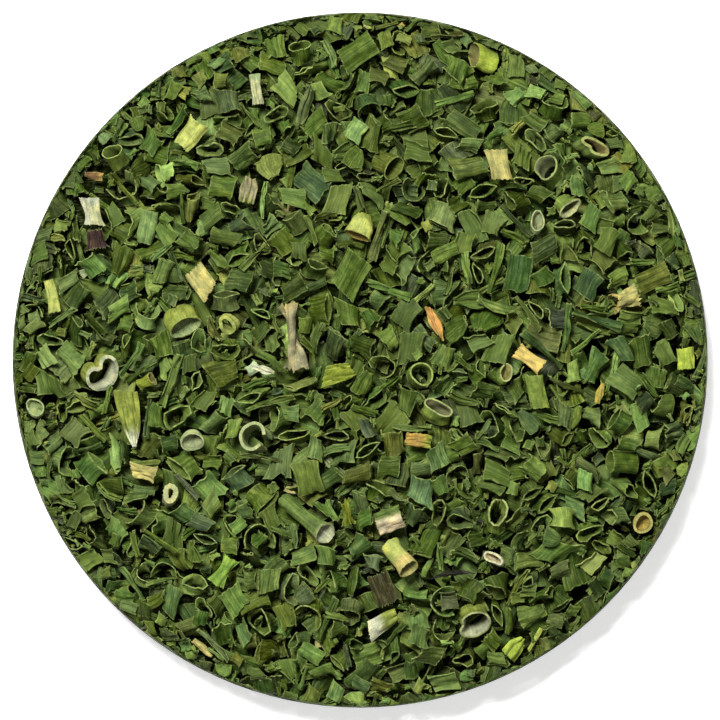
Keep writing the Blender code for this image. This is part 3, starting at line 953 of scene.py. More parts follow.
def leaf_material(group, settings):
    """Dried leaf: its own tint, a paler papery lining, and pale fringed cut ends that are partly painted
    highlight, with painted highlight along side edges.
    """
    material, tree, shader = shader_tree("dried_leaf")
    grain = attribute_node(tree, "grain")
    lot = attribute_node(tree, "lot")
    apart = number_node(tree, "MULTIPLY", lot.outputs["Fac"], LOT_SPACING)
    shifted = vector_node(tree, "ADD", grain.outputs["Vector"], apart)
    body = tree.nodes.new("ShaderNodeGroup")
    body.node_tree = group
    tree.links.new(shifted, body.inputs["Place"])
    tint = attribute_node(tree, "tint")
    join(tree, tint, "Color", body, "Tint")
    tree.links.new(ranged(tree, tint.outputs["Fac"], *TINT_TO_CONTRAST), body.inputs["Fibre Contrast"])
    body.inputs["Patch Contrast"].default_value = LEAF_PATCHES
    lining = number_node(tree, "MULTIPLY", attribute_node(tree, "lining").outputs["Fac"], LINING_SHARE)
    colour = mixed(tree, lining, body.outputs["Colour"], tuple(settings.lining_colour))
    # The pale mark at cut ends and side edges, broken up by noise: partly painted highlight.
    fringe = ranged(tree, noise_node(tree, shifted, *FRINGE), *FRINGE_TO_CUT)
    cut = number_node(tree, "MULTIPLY", attribute_node(tree, "cut").outputs["Fac"], fringe)
    cut = number_node(tree, "MULTIPLY", cut, CUT_AND_HIGHLIGHT_SHARE)
    colour = mixed(tree, cut, colour, tuple(settings.cut_and_highlight_colour))
    tree.links.new(colour, shader.inputs["Base Color"])
    tree.links.new(body.outputs["Roughness"], shader.inputs["Roughness"])
    shader.inputs["Specular IOR Level"].default_value = LEAF_SHEEN
    add_bump(tree, shader, body.outputs["Height"], *LEAF_RELIEF)
    return material


def add_bump(tree, shader, height, strength, distance):
    """Give a finish a relief from a height, as deep as the distance in metres."""
    bump = tree.nodes.new("ShaderNodeBump")
    bump.inputs["Strength"].default_value = strength
    bump.inputs["Distance"].default_value = distance
    tree.links.new(height, bump.inputs["Height"])
    join(tree, bump, "Normal", shader, "Normal")


def plain_leaf_material(name, group, tint, sheen, contrast, stretch):
    """Leaf matter that has no slice of its own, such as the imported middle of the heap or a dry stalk."""
    material, tree, shader = shader_tree(name)
    place = tree.nodes.new("ShaderNodeTexCoord")
    scaled = tree.nodes.new("ShaderNodeMapping")
    scaled.inputs["Scale"].default_value = tuple(value / MM for value in stretch)
    join(tree, place, "Object", scaled, "Vector")
    body = tree.nodes.new("ShaderNodeGroup")
    body.node_tree = group
    join(tree, scaled, "Vector", body, "Place")
    body.inputs["Tint"].default_value = (*tint, 1.0)
    body.inputs["Fibre Contrast"].default_value = contrast
    body.inputs["Patch Contrast"].default_value = contrast
    tree.links.new(body.outputs["Colour"], shader.inputs["Base Color"])
    tree.links.new(body.outputs["Roughness"], shader.inputs["Roughness"])
    shader.inputs["Specular IOR Level"].default_value = sheen
    add_bump(tree, shader, body.outputs["Height"], *PLAIN_RELIEF)
    return material


# ---------------------------------------------------------------- the slices that stand out

# Colours of dried chive leaf, as linear RGB, how much each slice of the colour varies in
# brightness, and how often the colour occurs among the ordinary slices.
TINTS = {
    "green": ((0.0388, 0.0665, 0.0062), 0.42, 80.0),
    "leek": ((0.0390, 0.0680, 0.0130), 0.38, 8.0),
    "olive": ((0.060, 0.076, 0.0100), 0.34, 7.0),
    "lime": ((0.155, 0.190, 0.036), 0.20, 3.0),
    "pale": ((0.235, 0.270, 0.125), 0.18, 0.35),
    "cream": ((0.280, 0.255, 0.090), 0.15, 0.3),
    "tan": ((0.210, 0.135, 0.030), 0.18, 0.15),
    "dark": ((0.015, 0.020, 0.005), 0.20, 0.7),
}

# The largest ordinary slices take only the first of the tints.
COMMON_TINTS = 3

# A tint varied by a share goes warmer by WARMTH of it and loses more blue, and whitens as it lightens and
# a little at random: bleaching, and painted sheen on the lighter slices.
WARMTH = 0.24
BLUE_LOSS = 1.6
PALER = 0.017
FROST_AND_SHEEN, FROST_AND_SHEEN_AT = 0.008, 0.36

SLOTS = {tint: tint + "_leaf" for tint in TINTS}

# Colours of slices that stand out and of their ends, edges and inner faces, as linear RGB.
SHADES = {
    "fresh": (0.108, 0.155, 0.027),
    "apple": (0.135, 0.165, 0.028),
    "yellow": (0.120, 0.150, 0.014),
    "grass": (0.065, 0.100, 0.020),
    "lemon": (0.240, 0.270, 0.065),
    "butter": (0.262, 0.245, 0.080),
    "spring": (0.120, 0.205, 0.030),
    "ash": (0.185, 0.205, 0.115),
    "buff": (0.170, 0.165, 0.085),
    "white": (0.310, 0.325, 0.220),
    "leek": (0.200, 0.250, 0.110),
    "ochre": (0.230, 0.155, 0.035),
    "orange": (0.310, 0.165, 0.045),
    "brown": (0.100, 0.060, 0.024),
    "bark": (0.030, 0.028, 0.008),
    "bone": (0.350, 0.295, 0.185),
    "husk": (0.200, 0.188, 0.100),
    "citron": (0.220, 0.285, 0.036),
    "maize": (0.350, 0.270, 0.075),
    "gold": (0.240, 0.205, 0.040),
    "straw": (0.215, 0.190, 0.065),
    "linen": (0.270, 0.280, 0.140),
    "chalk": (0.350, 0.365, 0.250),
    "maroon": (0.031, 0.018, 0.015),
}


def hero(node, tint, turn, kind, length, width, **shape):
    """A slice with a place of its own: its CAD node, tint, how it is turned, and its shape."""
    return node, tint, turn, dict(shape, kind=kind, length=length, width=width)


# Slices that have a place of their own: CAD node, tint, heading, pitch and roll (degrees), kind,
# length and width (mm), and what differs from PLAIN_SLICE. A slice may name a shade for its body, its
# inside, its far end and one side, and say how much of its length the end's shade takes.
HEROES = [
    hero("lime_saddle_northwest", "lime", (53, 4, 0), "saddle", 4.3, 4.0, bend=-35, waist=0.15,
         taper=(0.3, 0.0), body="lemon", inside="leek"),
    hero("white_saddle_northwest", "pale", (102, 6, 0), "saddle", 3.9, 3.2, bend=-20, waist=0.22,
         body="linen", end="white", side="white", skew=(0.3, 0.2)),
    hero("dark_chip_northwest", "dark", (-80, 3, 0), "plate", 2.7, 2.6, body="maroon", rib=0.16,
         ragged=0.2, flare=(-0.2, 0.35)),
    hero("ring_northwest", "green", (115, 72, 0), "tube", 3.0, 2.5, body="fresh", dimple=0.12),
    hero("brown_chip_northwest", "tan", (-15, 5, 0), "strip", 2.8, 1.4, body="brown", end="ochre",
         taper=(0.6, 0.2)),
    hero("lime_tube_northeast", "lime", (177, 30, 0), "tube", 3.3, 2.9, flat=0.65, waist=0.0,
         inside="straw", skew=(0.1, -0.1), body="citron"),
    hero("pale_saddle_northeast", "cream", (104, 5, 0), "saddle", 4.2, 3.1, body="butter", wrap=70,
         waist=0.12, skew=(0.25, 0.25)),
    hero("pale_curl_northeast", "cream", (-10, 80, 80), "tube", 2.4, 3.0, flat=0.5, dimple=0.5,
         dimple_place=0.1, wall=0.4, body="grass", inside="brown", end="butter", end_share=0.12),
    hero("large_ring_northeast", "pale", (150, 60, 0), "tube", 3.0, 2.9, flat=0.85, wall=0.24,
         body="fresh", inside="ash", waist=0.0, dimple=0.15, dimple_place=0.3, flare=(0.0, 0.15)),
    hero("pale_cup_northeast", "pale", (-50, 50, 0), "tube", 2.3, 2.1, flat=0.6, wall=0.24,
         body="fresh", inside="linen", end="linen", end_share=0.1, flare=(0.0, 0.3)),
    hero("white_oval_northeast", "pale", (80, 66, 90), "tube", 1.6, 2.4, flat=0.5, taper=(0.95, 0.0),
         waist=0.0, body="leek", inside="ash", end="linen", end_share=0.1, wall=0.2),
    hero("cream_strip_north", "cream", (98, 6, 0), "strip", 4.2, 1.7, body="linen", end="leek",
         crumple=0.04),
    hero("tan_chip_north", "tan", (-100, 8, 0), "plate", 3.4, 2.5, body="buff", end="apple",
         end_share=0.2, ripple=0.15, crumple=0.07, taper=(0.3, 0.2), ragged=0.25),
    hero("yellow_saddle_north", "lime", (70, -20, 0), "tube", 3.4, 2.6, flat=0.6, taper=(0.0, 0.6),
         flare=(0.2, 0.0), waist=0.0, body="lemon", end="apple", inside="ochre", crumple=0.04),
    hero("wide_plate_north", "green", (35, 6, 0), "plate", 5.2, 4.1, crease=35, skew=(0.2, 0.1)),
    hero("ring_north", "green", (100, 70, 0), "tube", 2.8, 2.3, dimple=0.15),
    hero("open_tube_north", "olive", (-35, 48, 0), "tube", 3.6, 2.7, flat=0.7, flare=(0.0, 0.2),
         dimple=0.2, dimple_place=0.25),
    hero("wrinkled_sheath_west", "cream", (95, 2, 0), "tube", 8.8, 1.9, flat=0.4, waist=0.6,
         body="husk", end="ochre", end_share=0.1, ripple=0.2, crumple=0.16, lump=0.26, ragged=0.6,
         twist=70, flare=(0.4, -0.1), dimple=0.3, dimple_place=0.1, bend=20),
    hero("white_sliver_west", "pale", (-15, 6, 0), "strip", 3.2, 1.2, body="chalk", end="linen",
         taper=(0.9, 0.6), crumple=0.04),
    hero("bright_saddle_centre", "lime", (15, 4, 0), "plate", 4.0, 2.9, body="yellow", crease=-60,
         crease_place=0.2, skew=(0.5, -0.3), taper=(0.0, 0.35), crumple=0.07),
    hero("wide_plate_centre", "green", (62, 5, 0), "plate", 5.4, 4.3, wrap=45, skew=(0.35, 0.2),
         crease=-40, crease_place=-0.3),
    hero("orange_tip_east", "tan", (-65, 8, 0), "crease", 5.0, 1.7, crease=70, body="orange",
         end="ochre", taper=(0.25, 0.95), bend=25, crumple=0.04, skew=(0.7, 0.0)),
    hero("orange_chip_southeast", "tan", (-8, 4, 0), "plate", 3.5, 1.9, body="ochre", end="yellow",
         ripple=0.12, crumple=0.06, wrap=90),
    hero("ring_centre", "green", (60, 78, 0), "tube", 3.0, 3.0, flat=0.95, body="fresh", inside="fresh",
         wall=0.24),
    hero("tan_curl_centre", "cream", (68, 58, 0), "tube", 2.6, 2.9, flat=0.6, waist=0.0, body="fresh",
         inside="buff", end="linen", end_share=0.1, wall=0.24),
    hero("wide_curl_southwest", "pale", (140, 70, 200), "curl", 3.4, 9.4, wrap=310, body="leek",
         inside="leek", end="linen", end_share=0.15, wall=0.45),
    hero("heart_curl_west", "pale", (-30, 60, 0), "tube", 2.6, 4.1, flat=0.86, dimple=0.62,
         dimple_place=0.07, dimple_width=0.07, wall=0.46, waist=0.0, body="apple", inside="chalk",
         end="chalk", end_share=0.2, flare=(0.0, 0.08), ragged=0.16),
    hero("pale_blade_west", "pale", (-80, 4, 0), "crease", 7.8, 3.7, crease=75, body="apple",
         end="chalk", end_share=0.36, taper=(0.0, 0.85), bend=-25, crumple=0.06, skew=(0.3, 0.0)),
    hero("lime_strip_west", "lime", (-76, 5, 0), "strip", 4.7, 1.8, body="lemon", bend=-30, waist=0.1,
         taper=(0.2, 0.0)),
    hero("wide_cup_west", "lime", (-60, 22, 0), "tube", 2.7, 3.7, flat=0.62, waist=0.0, body="apple",
         inside="leek", flare=(-0.3, 0.0), wall=0.22, slant=-0.4),
    hero("yellow_diamond_west", "cream", (-55, 7, 0), "plate", 4.1, 2.9, body="butter", end="ochre",
         end_share=0.1, crumple=0.05, skew=(-0.2, -0.45), crease=-25, waist=0.0, ragged=0.2),
    hero("small_ring_west", "lime", (-120, 72, 0), "tube", 2.2, 2.0, body="lemon", inside="lemon",
         wall=0.45),
    hero("pale_ring_southwest", "pale", (-95, 74, 0), "tube", 1.8, 2.7, flat=0.9, taper=(0.95, 0.0),
         waist=0.0, body="leek", inside="ash", wall=0.22),
    hero("pale_disc_far_west", "pale", (40, 70, 0), "tube", 1.5, 2.3, flat=0.8, taper=(0.95, 0.0),
         waist=0.0, body="leek", inside="leek", wall=0.2),
    hero("orange_tube_west", "tan", (25, 30, 0), "tube", 2.3, 1.3, flat=0.8, body="yellow",
         inside="brown", flare=(0.0, 0.25)),
    hero("tan_saddle_southwest", "cream", (-12, 5, 0), "saddle", 3.4, 2.6, body="butter", end="straw",
         waist=0.32, crumple=0.05, skew=(-0.5, 0.1)),
    hero("cream_bow_east", "cream", (-35, 6, 0), "saddle", 4.2, 2.5, waist=0.36, wrap=90, body="maize",
         bend=-20),
    hero("cream_ring_east", "cream", (82, 62, 90), "tube", 2.0, 2.1, flat=0.6, taper=(0.9, 0.0),
         waist=0.0, body="fresh", inside="straw", end="linen", end_share=0.12, wall=0.22),
    hero("green_saddle_east", "green", (102, 5, 0), "saddle", 4.6, 3.0, body="fresh", skew=(0.15, 0.2)),
    hero("cream_crumple_east", "cream", (200, 9, 0), "saddle", 3.8, 3.8, body="butter", end="ochre",
         end_share=0.2, lump=0.16, crumple=0.07, waist=0.3, ragged=0.3, notch=0.9, notch_place=-0.1),
    hero("lime_square_far_east", "lime", (96, 4, 0), "saddle", 2.9, 2.9, body="citron", wrap=70),
    hero("olive_plate_east", "olive", (25, 5, 0), "plate", 4.8, 3.3, crease=35, crease_place=0.3),
    hero("tube_east", "green", (176, 24, 0), "tube", 4.0, 2.5, flat=0.75),
    hero("yellow_strip_east", "tan", (76, 6, 0), "strip", 2.8, 1.2, body="gold", taper=(0.2, 0.6)),
    hero("lime_saddle_southwest", "lime", (58, 8, 0), "saddle", 4.3, 2.5, wrap=80, waist=0.3,
         body="spring"),
    hero("white_sliver_south", "pale", (-40, 5, 0), "strip", 3.3, 1.4, body="butter", taper=(0.5, 0.8)),
    hero("cream_oval_southwest", "cream", (82, 70, 90), "tube", 1.9, 1.75, flat=0.75, rib=0.16,
         body="linen", inside="butter", end="linen", end_share=0.2, wall=0.72, waist=0.0),
    hero("striped_saddle_south", "cream", (20, 5, 0), "saddle", 3.6, 4.0, wrap=130, body="bone",
         side="grass", ripple=0.05, crumple=0.03, rib=0.04),
    hero("lime_tube_south", "lime", (-50, 18, 0), "tube", 4.2, 2.3, flat=0.75, body="lemon",
         end="straw", end_share=0.5, inside="bone", flare=(0.05, 0.05), waist=0.05, slant=-0.5),
    hero("long_cup_south", "green", (-40, 7, 0), "tube", 7.2, 1.7, flat=0.8, body="grass",
         inside="chalk", end="linen", end_share=0.1, flare=(0.0, 0.5), slant=-0.9, wall=0.2),
    hero("white_saddle_south", "pale", (35, 5, 0), "saddle", 4.6, 3.0, body="white", end="apple",
         taper=(0.0, 0.45), skew=(0.5, 0.2), end_share=0.65),
    hero("wide_curl_southeast", "pale", (-75, 70, 0), "tube", 2.8, 3.7, flat=0.8, waist=0.0, wall=0.28,
         body="apple", inside="white", dimple=0.4, dimple_place=-0.22, flare=(0.0, 0.15)),
    hero("dark_plate_south", "dark", (112, 4, 0), "plate", 4.4, 3.3, body="bark", rib=0.08, ragged=0.25,
         flare=(0.1, -0.1)),
    hero("ragged_strip_south", "lime", (100, 6, 0), "strip", 3.5, 2.0, body="yellow", ragged=0.25,
         crumple=0.1, waist=0.35, notch=0.9, notch_place=0.2, lump=0.2, wrap=60),
    hero("cream_ring_southeast", "cream", (150, 68, 0), "tube", 1.9, 2.4, flat=0.85, wall=0.36,
         taper=(0.95, 0.0), waist=0.0, body="butter", inside="ochre", end="butter", end_share=0.1),
    hero("ladder_ring_southeast", "green", (85, 62, 90), "tube", 2.8, 3.2, flat=0.6, rib=0.22,
         wall=0.26, body="fresh", end="linen", end_share=0.12, ragged=0.3),
    hero("white_oval_southeast", "pale", (145, 66, 90), "tube", 1.6, 1.9, flat=0.5, wall=0.3,
         taper=(0.95, 0.0), waist=0.0, body="white", inside="bone"),
    hero("lime_chip_southeast", "lime", (60, 5, 0), "plate", 3.4, 2.9, body="citron", taper=(0.0, 0.75),
         skew=(0.3, 0.2)),
]

# How far a slice's wall wraps round (degrees) unless it says otherwise, how far the shade of an end or
# side reaches, how softly and how unevenly, and how pale a leaf has a weaker pale mark at its cut ends and
# sides, which is partly painted highlight.
HERO_WRAPS = {"saddle": 110, "plate": 55, "strip": 100, "curl": 330, "trough": 170, "crease": 40}
END_SHARE = 0.35
END_BLUR = 0.25
SIDE_SHARPNESS = 5
MOTTLE = 0.2
PALE_LEAF = 0.2
PALE_CUT = 0.3
HERO_ROWS = 12
HERO_COLUMNS = 24
HERO_SPREAD = 0.04
STEEPEST_SLOPE = math.radians(38)
SLOPE_STEP = 0.4


def resting_turn(x, y, heading):
    """How a slice lies on the heap's outline at a place, with its length along a heading."""
    radius = math.hypot(x, y)
    inner, outer = np.array(radius - SLOPE_STEP / 2), np.array(radius + SLOPE_STEP / 2)
    slope = min(math.atan2(float(bed_height(inner) - bed_height(outer)), SLOPE_STEP), STEEPEST_SLOPE)
    across = Vector((0, 0, 1)).cross(Vector((x, y, 0)).normalized())
    return Matrix.Rotation(slope, 4, across) @ Matrix.Rotation(math.radians(heading), 4, "Z")


def varied(tint, spread, chance):
    """A tint made a little lighter or darker, greener or yellower, and whitened: bleaching, and painted
    sheen.
    """
    gain = math.exp(chance.gauss(0.0, spread))
    warmth = chance.gauss(0.0, WARMTH * spread)
    # Whitening of lighter slices, and a little at random: bleaching, and painted sheen.
    bleach_and_sheen = PALER * max(gain - 1.0, 0.0) + max(chance.gauss(0.0, FROST_AND_SHEEN * spread / FROST_AND_SHEEN_AT), 0.0)
    shares = 1 + warmth, 1.0, 1 - BLUE_LOSS * warmth
    return (*(value * gain * share + bleach_and_sheen for value, share in zip(tint, shares)), 1.0)


def hero_piece(node, tint, turn, shape, material, chance):
    """One slice that stands out, in the place that its CAD node holds."""
    heading, pitch, roll = turn
    values = dict(shape)
    body, inside, end, side = (SHADES[values.pop(part)] if part in values else None
                               for part in ("body", "inside", "end", "side"))
    body = body or TINTS[tint][0]
    inside = inside or body
    end_share = values.pop("end_share", END_SHARE)
    values.setdefault("wrap", HERO_WRAPS.get(values["kind"], PLAIN_SLICE["wrap"]))
    leaf = Slice(**values)
    # Pale leaves take a weaker pale mark at their cut ends and sides, which is partly painted highlight.
    rim = PALE_CUT if max(body[1], inside[1]) > PALE_LEAF else 1.0
    mesh = leaf_mesh(node + "_leaf", leaf, HERO_ROWS, HERO_COLUMNS, chance, rim)
    low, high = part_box(node)
    middle = (low + high) / 2
    tilt = Matrix.Rotation(math.radians(-pitch), 4, "Y") @ Matrix.Rotation(math.radians(roll), 4, "X")
    mesh.transform(resting_turn(middle.x / MM, middle.y / MM, heading) @ tilt)
    places = np.array([tuple(vertex.co) for vertex in mesh.vertices])
    now_low, now_high = Vector(places.min(axis=0)), Vector(places.max(axis=0))
    shift = middle - (now_low + now_high) / 2
    shift.z = high.z - now_high.z
    mesh.transform(Matrix.Translation(shift))
    count = len(mesh.vertices)
    faces = [varied(shade, HERO_SPREAD, chance) for shade in (body, inside)]
    tints = np.repeat(faces, count // 2, axis=0)
    places = np.zeros(count * 3)
    mesh.attributes["grain"].data.foreach_get("vector", places)
    along, across = places[::3] / leaf.length + 0.5, places[1::3] / leaf.width
    for shade, share in ((end, (along - 1 + end_share) / END_BLUR), (side, across * SIDE_SHARPNESS)):
        if shade:
            mottle = [chance.uniform(-MOTTLE, MOTTLE) for _ in range(count)]
            share = np.clip(share + mottle, 0, 1)[:, None]
            tints = tints * (1 - share) + np.array(varied(shade, HERO_SPREAD, chance)) * share
    add_attribute(mesh, "tint", "FLOAT_COLOR", tints)
    add_attribute(mesh, "lot", "FLOAT", [chance.random()] * count)
    mesh.materials.append(material)
    return placed(node + "_leaf", mesh)


def print_of(piece):
    """The footprint of a finished piece, whose faces are cut up finely enough to miss no cell."""
    mesh = piece.data
    places = np.array([tuple(vertex.co) for vertex in mesh.vertices]) / MM
    sides = np.array([tuple(edge.vertices) for edge in mesh.edges])
    shares = np.linspace(0, 1, 5)[:, None, None]
    points = (places[sides[:, 0]] * (1 - shares) + places[sides[:, 1]] * shares).reshape(-1, 3)
    corner = np.floor(points.min(axis=0) / CELL) * CELL
    made = footprint(points - (corner[0], corner[1], 0))
    return made, corner[0], corner[1]


# ---------------------------------------------------------------- settings and operators

class ChiveSettings(bpy.types.PropertyGroup):
    """What a user would change about the heap."""

    seed: IntProperty(name="Seed", description="Changes how the ordinary slices fall", default=11)
    proud: FloatProperty(name="Proud", description="How far slices may stand above the heap's outline, in mm",
                         default=0.6)
    unevenness: FloatProperty(name="Unevenness", description="Depth of the hollows in the heap's top, in mm",
                              default=1.0)
    overlap_cells: IntProperty(name="Overlap", default=5,
                               description="How many map cells of a slice that stands out may be "
                               "covered by one laid over it")
    squeezed_band: FloatProperty(name="Squeezed Band", default=2.6 * MM, unit="LENGTH",
                                 description="Width of the rim where slices are bent in")
    inward_lean: FloatProperty(name="Inward Lean", default=0.05,
                               description="How far the rim leans in for each unit of height")
    wrinkle_depth: FloatProperty(name="Wrinkle Depth", description="How far slices are wrinkled",
                                 default=0.7 * MM, unit="LENGTH")
    wrinkle_size: FloatProperty(name="Wrinkle Size", description="How far apart wrinkles are",
                                default=2.2 * MM, unit="LENGTH")
    lining_colour: FloatVectorProperty(name="Lining", description="Colour of the papery inner face",
                                       subtype="COLOR", default=(0.09, 0.12, 0.026))
    # The colour of the pale mark at cut ends and side edges, which is partly painted highlight.
    cut_and_highlight_colour: FloatVectorProperty(name="Cut Ends", description="Colour of the fringed cut ends",
                                    subtype="COLOR", default=(0.23, 0.28, 0.085))
    floor_colour: FloatVectorProperty(name="Floor", description="Colour of the floor", subtype="COLOR",
                                      default=(0.92, 0.92, 0.92))


class Workshop:
    """What the operators hand on to one another."""

    heap = None
    library = None
    grain = None
    leaf = None
    tree = None
    heroes = []


def give(piece, slot, *nodes):
    """Fix a finished piece to the model's one body and hide the CAD nodes that it stands for. The slot is not
    used.
    """
    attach(piece, "root")
    if nodes:
        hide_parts(*nodes)


class CHIVES_OT_finishes(bpy.types.Operator):
    """Make the finishes and the shapes of slice that every piece draws on"""

    bl_idname = "chives.finishes"
    bl_label = "Finishes and Shapes"

    def execute(self, context):
        settings = context.scene.chives
        Workshop.grain = leaf_grain_group()
        Workshop.leaf = leaf_material(Workshop.grain, settings)
        Workshop.library = Library(settings.seed)
        Workshop.tree = scatter_tree()
        Workshop.heap = HeapMap()
        return {"FINISHED"}


class CHIVES_OT_heroes(bpy.types.Operator):
    """Make the larger and odder slices, each in its own place on top"""

    bl_idname = "chives.heroes"
    bl_label = "Slices That Stand Out"

    def execute(self, context):
        chance = random.Random(context.scene.chives.seed + 1)
        for node, tint, turn, shape in HEROES:
            piece = hero_piece(node, tint, turn, shape, Workshop.leaf, chance)
            give(piece, SLOTS[tint], node)
            Workshop.heroes.append(piece)
        return {"FINISHED"}


class CHIVES_OT_core(bpy.types.Operator):
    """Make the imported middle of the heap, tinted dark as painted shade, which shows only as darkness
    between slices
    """

    bl_idname = "chives.core"
    bl_label = "Packed Middle"

    def execute(self, context):
        tint = TINTS["green"][0]
        # The green tint darkened to a small share of itself: painted shade for the deep gaps between slices.
        painted_shade_tint = tuple(value * CORE_PAINTED_SHADE for value in tint)
        material = plain_leaf_material("packed_leaf_painted_shade", Workshop.grain, painted_shade_tint, *CORE_FINISH)
        piece = core_piece(material)
        give(piece, "matted_leaf")
        return {"FINISHED"}


def core_height(radius):
    """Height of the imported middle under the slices, on which they are laid."""
    share = np.clip(radius / CORE_RADIUS, 0.0, 1.0)
    return CORE_BOTTOM + (BED_TOP - CORE_DEPTH - CORE_BOTTOM) * (1 - share**ROUNDING) ** (1 / ROUNDING)


def core_top(radius):
    """The core's height with its narrow wall at the rim, which closes the view through the last slices with
    painted shade.
    """
    plain = float(core_height(radius))
    wall = BED_TOP * (1 - (radius / OUTLINE_RADIUS)**ROUNDING) ** (1 / ROUNDING) - RIM_DEPTH
    return plain if radius < RIM_FROM else max(plain, wall)


def core_piece(material):
    """A low turned solid with a lumpy top and a thin lip near the ground, hidden under the slices. Its dark
    finish paints the shade in the gaps between them.
    """
    around = CORE_SIDES
    radii = CORE_RADIUS * np.sin(np.linspace(0.0, math.pi / 2, CORE_RINGS + 1)[1:])
    profile = [(radius, core_top(radius)) for radius in radii]
    # The lip near the ground takes the same dark finish: painted shade at the foot of the rim.
    profile += [(CORE_RADIUS, CORE_BOTTOM), (LIP_RADIUS, LIP_TOP), (LIP_RADIUS, LIP_BOTTOM),
                (LIP_INNER, CORE_BOTTOM)]
    angles = np.arange(around) / around * 2 * math.pi
    places = [(0.0, 0.0, float(core_height(0.0)))]
    for radius, height in profile:
        places += [(radius * math.cos(a), radius * math.sin(a), height) for a in angles]
    places = np.array(places + [(0.0, 0.0, CORE_BOTTOM)])
    last = len(places) - 1
    base = last - around
    faces = []
    for step in range(around):
        after = (step + 1) % around
        faces.append((0, 1 + step, 1 + after))
        for inner in range(1, base, around):
            outer = inner + around
            faces.append((inner + step, outer + step, outer + after, inner + after))
        faces.append((base + step, last, base + after))
    chance = random.Random(CORE_SEED)
    lumpy = 1 + CORE_RINGS * around
    places[:lumpy, 2] += [chance.uniform(-CORE_LUMPS, CORE_LUMPS) for _ in range(lumpy)]
    mesh = bpy.data.meshes.new("packed_middle")
    mesh.from_pydata((places * MM).tolist(), [], faces)
    mesh.materials.append(material)
    return placed("packed_middle", mesh)


class CHIVES_OT_slices(bpy.types.Operator):
    """Lay the ordinary slices and set them out in a few pieces"""

    bl_idname = "chives.slices"
    bl_label = "Ordinary Slices"

    def execute(self, context):
        settings = context.scene.chives
        laid = lay_all(settings)
        for name, rows in grouped(laid, settings).items():
            piece = set_out(name, rows, Workshop.library, Workshop.tree, Workshop.leaf, settings)
            give(piece, "matted_leaf", *(["matted_bed"] if name == "slices_northeast" else []))
        Workshop.library.remove()
        return {"FINISHED"}


def lay_all(settings):
    """Lay the floor, the body under the slices that stand out, and the surface round them."""
    heap, library = Workshop.heap, Workshop.library
    laid = []
    lay_layer(heap, library, "floor", laid, settings.seed + 2, settings)
    core = heap.radius < CORE_RADIUS
    heap.height[core] = np.maximum(heap.height[core], core_height(heap.radius[core]) + CORE_GAP)
    prints = [print_of(piece) for piece in Workshop.heroes]
    for made, x, y in prints:
        window = heap.window(made, x, y)
        ceiling = np.where(made["solid"], made["low"], np.inf)
        heap.ceiling[window] = np.minimum(heap.ceiling[window], ceiling)
    lay_layer(heap, library, "body", laid, settings.seed + 3, settings)
    heap.ceiling[:] = np.inf
    for made, x, y in prints:
        window = heap.window(made, x, y)
        heap.height[window] = np.maximum(heap.height[window], np.where(made["solid"], made["high"], 0))
        heap.owner[window] = np.where(made["solid"], -1, heap.owner[window])
        heap.kept_clear[window] |= made["solid"]
    lay_layer(heap, library, "mouths", laid, settings.seed + 4, settings)
    standing = [number for number, row in enumerate(laid) if row["layer"] == "mouths"]
    own_places = heap.kept_clear
    heap.kept_clear = own_places | np.isin(heap.owner, standing)
    lay_layer(heap, library, "surface", laid, settings.seed + 6, settings)
    heap.kept_clear = own_places
    lay_layer(heap, library, "filling", laid, settings.seed + 7, settings)
    lay_layer(heap, library, "rim", laid, settings.seed + 9, settings)
    return laid


def grouped(laid, settings):
    """Leave out slices buried deep, choose how finely each is made, tint it, and sort them by place."""
    seen = np.bincount(Workshop.heap.owner[Workshop.heap.owner >= 0].ravel(), minlength=len(laid))
    chance = random.Random(settings.seed + 5)
    names = list(TINTS)
    shares = [TINTS[name][2] for name in names]
    groups = {}
    for number, row in enumerate(laid):
        choice = COMMON_TINTS if seen[number] > LARGEST_ACCENT else len(names)
        tint = TINTS[chance.choices(names[:choice], shares[:choice])[0]]
        row["tint"] = varied(tint[0], tint[1], chance)
        row["lot"] = chance.random()
        x, y, z = row["place"]
        cover = float(bed_height(np.array(math.hypot(x, y)))) - z
        edge = row["reach"] > OUTLINE_RADIUS - EDGE_BAND
        if row["layer"] != "floor" and seen[number] == 0 and not edge and cover > BURIED_DEEP:
            continue
        row["detail"] = 0 if seen[number] >= FINE_FROM else 1 if seen[number] > 0 or edge else 2
        sector = ("south" if y < 0 else "north") + ("west" if x < 0 else "east")
        if row["layer"] == "floor":
            name = "slices_underneath"
        elif seen[number] >= TOP_FROM:
            name = "slices_" + sector
        else:
            name = "lower_slices_" + ("south" if y < 0 else "north")
        groups.setdefault(name, []).append(row)
    return groups


# The stalk: length, bow and wobble in mm, heading in degrees, and how it thins towards both ends.
STALK_LENGTH = 6.4
STALK_BOW = 0.5
STALK_POINTS = 24
STALK_HEADING = 8
STALK_WOBBLE = 0.06
STALK_TAPER, STALK_TAPER_POWER = 0.88, 1.3
STALK_RIDGES = (0.85, 1.1)
STALK_SEED = 5


class CHIVES_OT_stalk(bpy.types.Operator):
    """Make the dry black stalk"""

    bl_idname = "chives.stalk"
    bl_label = "Dry Stalk"

    def execute(self, context):
        node = "dark_stalk_southeast"
        material = plain_leaf_material("dry_stalk", Workshop.grain, STALK_TINT, *STALK_FINISH)
        piece = stalk_piece(node, material)
        give(piece, "dark_leaf", node)
        Workshop.heroes.append(piece)
        return {"FINISHED"}


